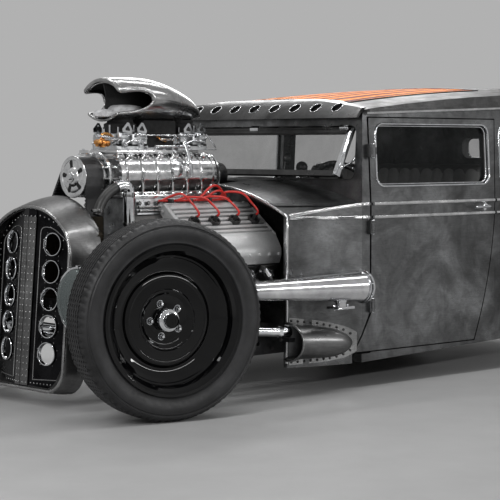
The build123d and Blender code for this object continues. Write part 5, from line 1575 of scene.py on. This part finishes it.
def round_tail(first, z):
    """Points along the left side, round the tail and back along the right side."""
    left = side_run(first, 2640, z, 1)
    right = side_run(first, 2640, z, -1)
    height = (lambda s: z) if isinstance(z, (int, float)) else z
    corner = []
    for k in range(1, 16):
        a = math.radians(90 * k / 15)
        z_here = height(TAIL_S + TAIL_R * math.sin(a))
        round_r = TAIL_R - leaning(z_here)
        corner.append((TAIL_S + round_r * math.sin(a), TAIL_Y + round_r * math.cos(a), z_here))
    left += [at(s, y, h) for s, y, h in corner]
    right = [at(s, -y, h) for s, y, h in reversed(corner)] + right
    return left + right


def drip(s):
    return DRIP_Z + (s - HINGE_S) * DRIP_SLOPE


COWL_BELT = (
    (786, 491, 690), (850, 528, 702), (920, 571, 715), (990, 598, 725), (1060, 625, 733),
    (1094, 627, BELT_Z),
)
# The mouldings are in the bright steel, a painted highlight along the beads.
mouldings = Piece("body_mouldings", painted_highlight_steel, "raw_body")
for z in BELTS:
    mouldings.sweep(round_tail(1868, z), BEAD_FORM)
mouldings.sweep(round_tail(1094, drip), DRIP_FORM)
for side in (1, -1):
    mouldings.sweep(side_run(788, 1094, 681, side), BEAD_FORM)
    shoulder = [at(s, side * y, z) for s, y, z in COWL_BELT]
    mouldings.sweep(shoulder if side > 0 else shoulder[::-1], BEAD_FORM)
COWL_HALF, COWL_RISE, COWL_TOP = 487, 122, 812
radius = (COWL_HALF ** 2 + COWL_RISE ** 2) / (2 * COWL_RISE)
middle_z = COWL_TOP - radius
arch = [math.asin(COWL_HALF / radius) * (1 - k / 12) for k in range(25)]
edge = [at(782, 484, 110 + 58 * k) for k in range(10)]
edge += [at(782, radius * math.sin(a), middle_z + radius * math.cos(a) - 4) for a in arch]
edge += [at(782, -484, 110 + 58 * k) for k in reversed(range(10))]
mouldings.tube(edge, 0.0058, 12, 1)
mouldings.done(60)
for corner, side in SIDES:
    strips = Piece(f"door_mouldings_{corner}", painted_highlight_steel, "raw_body", f"door_{corner}")
    for z in BELTS:
        strips.sweep(side_run(1122, 1856, z, side), BEAD_FORM)
    strips.done(60)

# Screen: rubber, side stays and hinges.
swing = math.radians(26)
down = Vector((math.sin(swing), 0, -math.cos(swing)))
face = Vector((math.cos(swing), 0, math.sin(swing)))
SCREEN_S, SCREEN_Z, STAY_HALF = 1076, 1033.7, 24
hinge = at(SCREEN_S, 0, SCREEN_Z)
corners = rounded_box(-542, 542, -190, -22, 14)
loop = [hinge + ACROSS * (y / 1000) - down * (z / 1000) for y, z in corners[-7:] + corners[:-7]]
lone_tube("screen_rubber", black_plastic, "black_trim", loop, 0.005, 8, closed=True)
stays = Piece("screen_stays", chrome, "chrome_trim")
for side in (1, -1):
    middle = hinge + down * 0.106
    stays.brick(middle + ACROSS * (side * 0.5655), down, ACROSS, (0.208, 0.004, 0.019), 0.0012)
    stays.brick(
        middle + ACROSS * (side * 0.553) + face * 0.0095, down, ACROSS, (0.206, 0.021, 0.004), 0.0012,
    )
for y in (-520, 0, 520):
    stays.rod(
        at(SCREEN_S, y - STAY_HALF, SCREEN_Z), at(SCREEN_S, y + STAY_HALF, SCREEN_Z), 0.0155, bevel=0.002,
    )
for side in (1, -1):
    foot = hinge + ACROSS * (side * 0.566) + down * 0.17
    stays.lathe(foot, ACROSS * side, [(0.1, -4), (9, -4), (11, 0), (11, 5), (6, 9), (0.1, 9)], 20)
    stays.tube(
        [foot + ACROSS * (side * 0.004), at(1064, side * 572, 905), at(1080, side * 576, 935)], 0.0045, 10,
        4,
    )
stays.done(40)


# Cabin: padded seats, dials, wheel rim grips and door cards.
def padded_form(name, outline, half, pleat, swell, edge, look, *replaces):
    """Upholstered form: a closed (station, height) outline carried across the car, with sewn pleats."""
    piece = Piece(name, look, "seat_leather")
    flat = smooth_line([(s, z, 0) for s, z in outline], 6, True)
    middle = sum(flat, Vector((0, 0, 0))) / len(flat)
    normals = []
    count = len(flat)
    for i, p in enumerate(flat):
        way = (flat[(i + 1) % count] - flat[i - 1]).normalized()
        normal = Vector((way.y, -way.x, 0))
        normals.append(normal if normal.dot(p - middle) > 0 else -normal)
    steps = int(2 * half / 6)
    verts = []
    for j in range(steps + 1):
        y = 2 * half * j / steps - half
        e = min(y + half, half - y) / edge
        shrink = edge * 0.45 * (1 - math.sqrt(max(0.0, 1 - (1 - e) ** 2))) if e < 1 else 0
        puff = swell * (abs(math.sin(math.pi * (y + half) / pleat)) ** 0.55 - 1)
        for p, normal in zip(flat, normals):
            q = p + normal * (puff - shrink)
            verts.append(at(q.x, y, q.y))
    ends = [tuple(range(count)), tuple(range(steps * count, (steps + 1) * count))]
    piece.add(verts, grid(steps + 1, count, True) + ends)
    made = piece.done(70, replaces)


padded_form(
    "front_cushion",
    [
        (1482, 430), (1500, 420), (1700, 419), (1880, 421), (1898, 450), (1896, 520), (1870, 552),
        (1700, 556), (1540, 560), (1492, 545), (1480, 500),
    ],
    514, 64, 11, 40, seat_hide, "front_seat",
)
padded_form(
    "front_backrest",
    [
        (1852, 505), (1900, 488), (1972, 482), (1984, 560), (2000, 720), (2009, 850), (1992, 872),
        (1960, 876), (1925, 868), (1908, 840), (1890, 720), (1866, 580),
    ],
    514, 64, 11, 40, seat_hide,
)
padded_form(
    "front_bolster",
    [
        (1918, 838), (1938, 822), (1975, 826), (2002, 842), (2006, 866), (1985, 882), (1945, 884),
        (1920, 866),
    ],
    512, 128, 5, 36, dark_hide,
)
padded_form(
    "rear_cushion",
    [
        (2062, 425), (2100, 420), (2286, 420), (2288, 500), (2240, 508), (2110, 512), (2070, 500),
        (2060, 460),
    ],
    498, 62, 10, 40, seat_hide, "rear_seat",
)
padded_form(
    "rear_backrest",
    [
        (2240, 500), (2280, 470), (2328, 470), (2329, 700), (2328, 850), (2300, 862), (2258, 856),
        (2238, 800), (2236, 640),
    ],
    498, 62, 10, 40, seat_hide,
)
base = Piece("seat_frames", black_plastic, "black_trim")
for side in (1, -1):
    base.brick(at(1695, side * 325, 332), FORWARD, ACROSS, (0.368, 0.345, 0.17), 0.01)
    for s in (1540, 1850):
        base.rod(at(s, side * 325 - 150, 262), at(s, side * 325 + 150, 262), 0.012, bevel=0.002)
base.brick(at(2180, 0, 418), FORWARD, ACROSS, (0.20, 0.96, 0.012), 0.004)
base.done(40)

dials = Piece("dash_bezels", chrome, "chrome_trim")
faces_piece = Piece("dash_faces", black_plastic, "black_trim")
needles = Piece("dash_needles", red_rubber, "red_wire")
for y, r in ((360, 24), (300, 31), (235, 31), (170, 22), (0, 22), (-60, 22)):
    spot = at(1150, y, 777)
    dials.lathe(spot, -FORWARD, [(r, 0), (r + 1, 3), (r - 1, 5), (r - 4, 4), (r - 4.5, 1)], 36)
    faces_piece.lathe(spot, -FORWARD, [(r - 3, 0.4), (r - 4, 1.4), (4, 1.6), (3, 4), (0.1, 4.2)], 36)
    a = 0.6 + y * 0.01
    pivot = spot - FORWARD * 0.0032
    needles.tube([pivot, pivot + Vector((0, math.cos(a), math.sin(a))) * (r - 8) / 1000], 0.0009, 6, 1)
mirror = Piece("dash_mirror", black_plastic, "black_trim")
mirror.tube(places(1, (1130, 112, 810), (1131, 112, 850), (1136, 112, 884), (1140, 112, 900)), 0.004, 10, 5)
mirror.lathe(at(1130, 112, 811), UP, [(0.1, -1), (17, 0), (17, 3), (8, 7), (4, 9)], 24)
mirror.lathe(
    at(1150, 112, 912), (1, 0, 0.1), [(0.1, -4), (21, -4), (23, 0), (22, 4), (14, 14), (5, 22), (0.1, 23)],
    30,
)
mirror.done(40)
dials.done(40)
faces_piece.done(50)
needles.done(60)

column = Vector((-(1325 - 986.3), 0, 211)).normalized()
hub_centre = at(1325, 300, 737) + column * 0.012
grip = Piece("steering_wheel_trim", chrome, "chrome_trim", "steering_wheel")
grip.lathe(hub_centre, column, [(34.5, -6), (36, 2), (33, 12), (22, 17), (0.1, 19)], 36)
for cos, sin in circle(44):
    ring_way = ACROSS * cos + column.cross(ACROSS) * sin
    grip.lathe(
        hub_centre + ring_way * 0.175, ring_way.cross(column), [(12.2, -1), (12.8, 0), (12.2, 1)], 14,
    )
grip.done(50)

CARD_LONG, CARD_HIGH, CARD_PLEAT = 60, 24, 53.3
for corner, side in SIDES:
    card = Piece(f"door_card_{corner}", dark_hide, "seat_leather", f"door_{corner}")
    verts = []
    for j in range(CARD_LONG + 1):
        s = 1160 + 640 * j / CARD_LONG
        for k in range(CARD_HIGH + 1):
            edge = min(j, CARD_LONG - j, k, CARD_HIGH - k)
            puff = 6 * abs(math.sin(math.pi * (s - 1160) / CARD_PLEAT)) ** 0.5 * min(1, edge / 2)
            inner = cowl_y(s) - 47 - puff - (2 if edge else 0)
            verts.append(at(s, side * inner, 330 + 440 * k / CARD_HIGH))
    card.add(verts, grid(CARD_LONG + 1, CARD_HIGH + 1))
    card.done(70)
    crank = Piece(f"window_crank_{corner}", chrome, "chrome_trim", f"door_{corner}")
    seat = at(1380, side * 583, 640)
    inward = ACROSS * -side
    knob = seat + inward * 0.018 + Vector((-0.065, 0, -0.055))
    crank.lathe(seat, inward, [(16, 0), (16, 4), (9, 7), (8, 18), (0.1, 19)], 24)
    crank.tube(
        [seat + inward * 0.016, seat + inward * 0.018 + Vector((-0.04, 0, -0.03)), knob], 0.0045, 10, 4,
    )
    crank.dome(knob, inward, 0.009, 0.024, 16)
    crank.done(40)

# Underside and axles: spring leaves, clamps, kingpin caps, rod ends and coils.
springs = Piece("spring_leaves", frame_black, "dark_frame")
LEAF_W, LEAF_T = 0.0262, 0.0026
for k in range(5):
    reach = 372 - 62 * k
    top = []
    for j in range(25):
        y = -reach + 2 * reach * j / 24
        crown = 339.7 - (y / 385) ** 2 * 48
        top.append(at(70, y, crown - 6 * k - 3.2))
    springs.sweep(top, [(-LEAF_W, -LEAF_T), (LEAF_W, -LEAF_T), (LEAF_W, LEAF_T), (-LEAF_W, LEAF_T)])
springs.done(35)
clamps = Piece("axle_hardware", chrome, "chrome_trim")
for side in (1, -1):
    rod_foot = at(27, side * 421, 299)
    rod_way = at(760, side * 520, 238) - rod_foot
    for y in (side * 25 + 40, side * 25 - 40):
        clamps.tube(places(1, (42, y, 300), (42, y, 346), (98, y, 346), (98, y, 300)), 0.005, 10, 1)
    for z, way in ((395, UP), (315, -UP)):
        clamps.lathe(at(0, side * 600, z), way, [(24.2, -4), (24.5, 1), (20, 5), (8, 7), (0.1, 8)], 24)
    clamps.lathe(rod_foot, rod_way, [(19, 0), (26, 2), (26, 22), (19.2, 30)], 28)
    clamps.nut(at(748, side * 518, 258), UP, 0.013, 0.01)
    clamps.lathe(at(700, side * 512, 243), rod_way, [(19.2, 0), (22.5, 2), (22.5, 18), (19.2, 20)], 6)
clamps.done(40)
rods = Piece("tie_rod_ends", iron, "engine_iron", "tie_rod")
for s, y in ((148.9, 622.7), (142.2, -550.1)):
    rods.lathe(at(s, y, 186), UP, [(0.1, -3), (12, -2), (16, 2), (16.4, 20), (13, 26), (12, 28.6)], 24)
    inner = -1 if y > 0 else 1
    rods.lathe(at(s, y + inner * 22, 200), (0, inner, 0), [(11.2, 0), (14, 1), (14, 22), (11.2, 24)], 6)
rods.done(40)

COIL_S, COIL_Y, COIL_R = 2760, 300, 27
rear = Piece("rear_coils", frame_black, "dark_frame")
for side in (1, -1):
    turns = [0.42 * k for k in range(121)]
    coil = [
        at(COIL_S + COIL_R * math.cos(a), side * COIL_Y + COIL_R * math.sin(a), 365 + 170 * k / 120)
        for k, a in enumerate(turns)
    ]
    rear.tube(coil, 0.0065, 10, 1)
    for z in (362.5, 537.5):
        rear.lathe(at(COIL_S, side * COIL_Y, z), UP, [(0.1, -2), (34, -2), (35, 0), (34, 2), (0.1, 2)], 30)
    rear.rod(at(COIL_S, side * COIL_Y, 362), at(COIL_S, side * COIL_Y, 538), 0.015)
    rear.tube(places(side, (2467, 400, 385), (2520, 400, 386), (2650, 400, 385)), 0.0135, 14, 4)
    for s in (2480, 2636):
        rear.rod(at(s, side * 384, 385), at(s, side * 416, 385), 0.0195, bevel=0.003)
rear.done(40, ("rear_suspension",))
diff = Piece("axle_cover", steel_dark, "engine_iron")
diff.lathe(at(2812, 0, REAR_R), -FORWARD, [(84, -24), (84, -12), (76, -8), (50, -1), (24, 3), (0.1, 4)], 40)
for cos, sin in circle(10):
    diff.nut(at(2796, 0, REAR_R) + Vector((0.004, 0.078 * cos, 0.078 * sin)), -FORWARD, 0.007, 0.009)
diff.done(35)

# Frame bolts and brake pipes.
bolts = Piece("frame_bolts", iron, "dark_frame")
for side in (1, -1):
    for k in range(18):
        for z in (168, 216):
            bolts.nut(at(660 + 95 * k, side * 425, z), ACROSS * side, 0.0075, 0.006)
    for s in (1245, 1275):
        bolts.nut(at(s, side * 360, 146), -UP, 0.008, 0.007)
    for k in range(4):
        bolts.nut(at(44, side * (60 + 55 * k), 362), FORWARD, 0.0075, 0.007)
    bolts.nut(at(735, side * 500, 210), FORWARD, 0.008, 0.007)
bolts.done(30)
line = Piece("brake_pipes", steel_bright, "chrome_trim")
for side in (1, -1):
    line.tube(
        places(
            side, (640, 372, 176), (900, 371, 172), (1400, 371, 176), (2000, 371, 172), (2300, 371, 178),
        ),
        0.0032, 8, 6,
    )
line.done(60)

# Tail lamps and the back window's trim.
tail = Piece("tail_lamp_trim", chrome, "chrome_trim")
ribs = Piece("tail_lamp_ribs", red_glass, "lamp_red")
for side in (1, -1):
    spot = at(2952, side * 430, 560)
    tail.lathe(spot, -FORWARD, [(36.2, -18), (40, -17), (40.5, -4), (38, 0), (34, 1.4), (33, 0)], 48)
    for r in (8, 15, 22, 29):
        ribs.lathe(spot, -FORWARD, [(r - 2.6, 0), (r - 1.4, 1.5), (r, 2), (r + 1.4, 1.5), (r + 2.6, 0)], 44)
tail.done(40)
ribs.done(60)
loop = [at(TAIL_S + TAIL_R - leaning(z) + 0.6, y, z) for y, z in rounded_box(-351, 351, 903, 1005, 33)]
lone_tube("back_window_trim", chrome, "chrome_trim", loop, 0.0045, 10, closed=True)

# Camera, light and floor.
lens = bpy.data.cameras.new("photo_camera")
SENSOR, FOCAL_PIXELS, PHOTO_PIXELS, HORIZON_PIXELS = 36, 1690, 500, 103
lens.sensor_width = SENSOR
lens.lens = SENSOR * FOCAL_PIXELS / PHOTO_PIXELS
camera = bpy.data.objects.new("photo_camera", lens)
camera.location = (5.2204, 5.177, 0.960)
heading = math.radians(46.5)
pitch = math.atan(HORIZON_PIXELS / FOCAL_PIXELS)
look = Vector(
    (-math.cos(heading) * math.cos(pitch), -math.sin(heading) * math.cos(pitch), -math.sin(pitch))
)
camera.rotation_mode = "QUATERNION"
camera.rotation_quaternion = look.to_track_quat("-Z", "Y")
bpy.context.scene.collection.objects.link(camera)
bpy.context.scene.camera = camera


def lamp(name, place, aim, size, power):
    data = bpy.data.lights.new(name, "AREA")
    data.shape = "RECTANGLE"
    data.size, data.size_y = size
    data.energy = power
    made = bpy.data.objects.new(name, data)
    made.location = place
    made.rotation_mode = "QUATERNION"
    made.rotation_quaternion = (Vector(aim) - Vector(place)).to_track_quat("-Z", "Y")
    bpy.context.scene.collection.objects.link(made)


lamp("overhead_strip_left", (0.2, 1.5, 3.7), (0.2, 0.4, 0.6), (5.4, 0.22), 58)
lamp("overhead_strip_right", (0.2, -1.5, 3.7), (0.2, -0.3, 0.6), (5.4, 0.22), 48)
lamp("front_strip", (4.6, 1.6, 2.7), (0.9, 0.2, 0.5), (0.22, 2.6), 60)
lamp("side_left_strip", (-0.6, 5.4, 2.0), (-0.1, 0.5, 0.5), (5.0, 0.18), 75)
lamp("rear_right_box", (-3.6, -3.8, 3.0), (0, 0, 0.7), (3.0, 1.4), 80)

PALE, DIM = 0.44, 0.26
floor_mesh = bpy.data.meshes.new("floor")
floor_mesh.from_pydata([(-60, -60, 0), (60, -60, 0), (60, 60, 0), (-60, 60, 0)], [], [(0, 1, 2, 3)])
floor = bpy.data.objects.new("floor", floor_mesh)
bpy.context.scene.collection.objects.link(floor)
floor_look, tree, shader = new_material("studio_floor")
grain = noise_value(tree, 5, 4, 0.6)
feed(tree, shader, Base_Color=ramp(tree, grain, (0.3, 0.42), (0.7, 0.46)), Roughness=0.42)
far_glow = node(tree, "ShaderNodeEmission", Strength=PALE)
place = tree.nodes.new("ShaderNodeTexCoord")
distance = node(tree, "ShaderNodeVectorMath", operation="LENGTH")
tree.links.new(place.outputs["Object"], distance.inputs[0])
fade = node(tree, "ShaderNodeMapRange", interpolation_type="SMOOTHSTEP")
feed(tree, fade, From_Min=2.2, From_Max=8.0, Value=distance.outputs["Value"])
blend = tree.nodes.new("ShaderNodeMixShader")
tree.links.new(fade.outputs["Result"], blend.inputs[0])
tree.links.new(shader.outputs[0], blend.inputs[1])
tree.links.new(far_glow.outputs[0], blend.inputs[2])
tree.links.new(blend.outputs[0], tree.nodes["Material Output"].inputs["Surface"])
floor_mesh.materials.append(floor_look)
floor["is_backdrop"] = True

world = bpy.data.worlds.new("studio")
world.use_nodes = True
bpy.context.scene.world = world
sky = world.node_tree
ground = sky.nodes["Background"]
path = sky.nodes.new("ShaderNodeLightPath")
through = node(sky, "ShaderNodeMath", operation="MAXIMUM")
sky.links.new(path.outputs["Is Camera Ray"], through.inputs[0])
sky.links.new(path.outputs["Is Transmission Ray"], through.inputs[1])
seen = node(sky, "ShaderNodeMath", operation="MAXIMUM")
sky.links.new(through.outputs[0], seen.inputs[0])
sky.links.new(path.outputs["Is Glossy Ray"], seen.inputs[1])
level = node(sky, "ShaderNodeMapRange")
feed(sky, level, To_Min=DIM, To_Max=PALE, Value=seen.outputs[0])
feed(sky, ground, Color=grey(1), Strength=level.outputs["Result"])

bpy.context.scene.view_settings.view_transform = "Standard"

low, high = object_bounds()
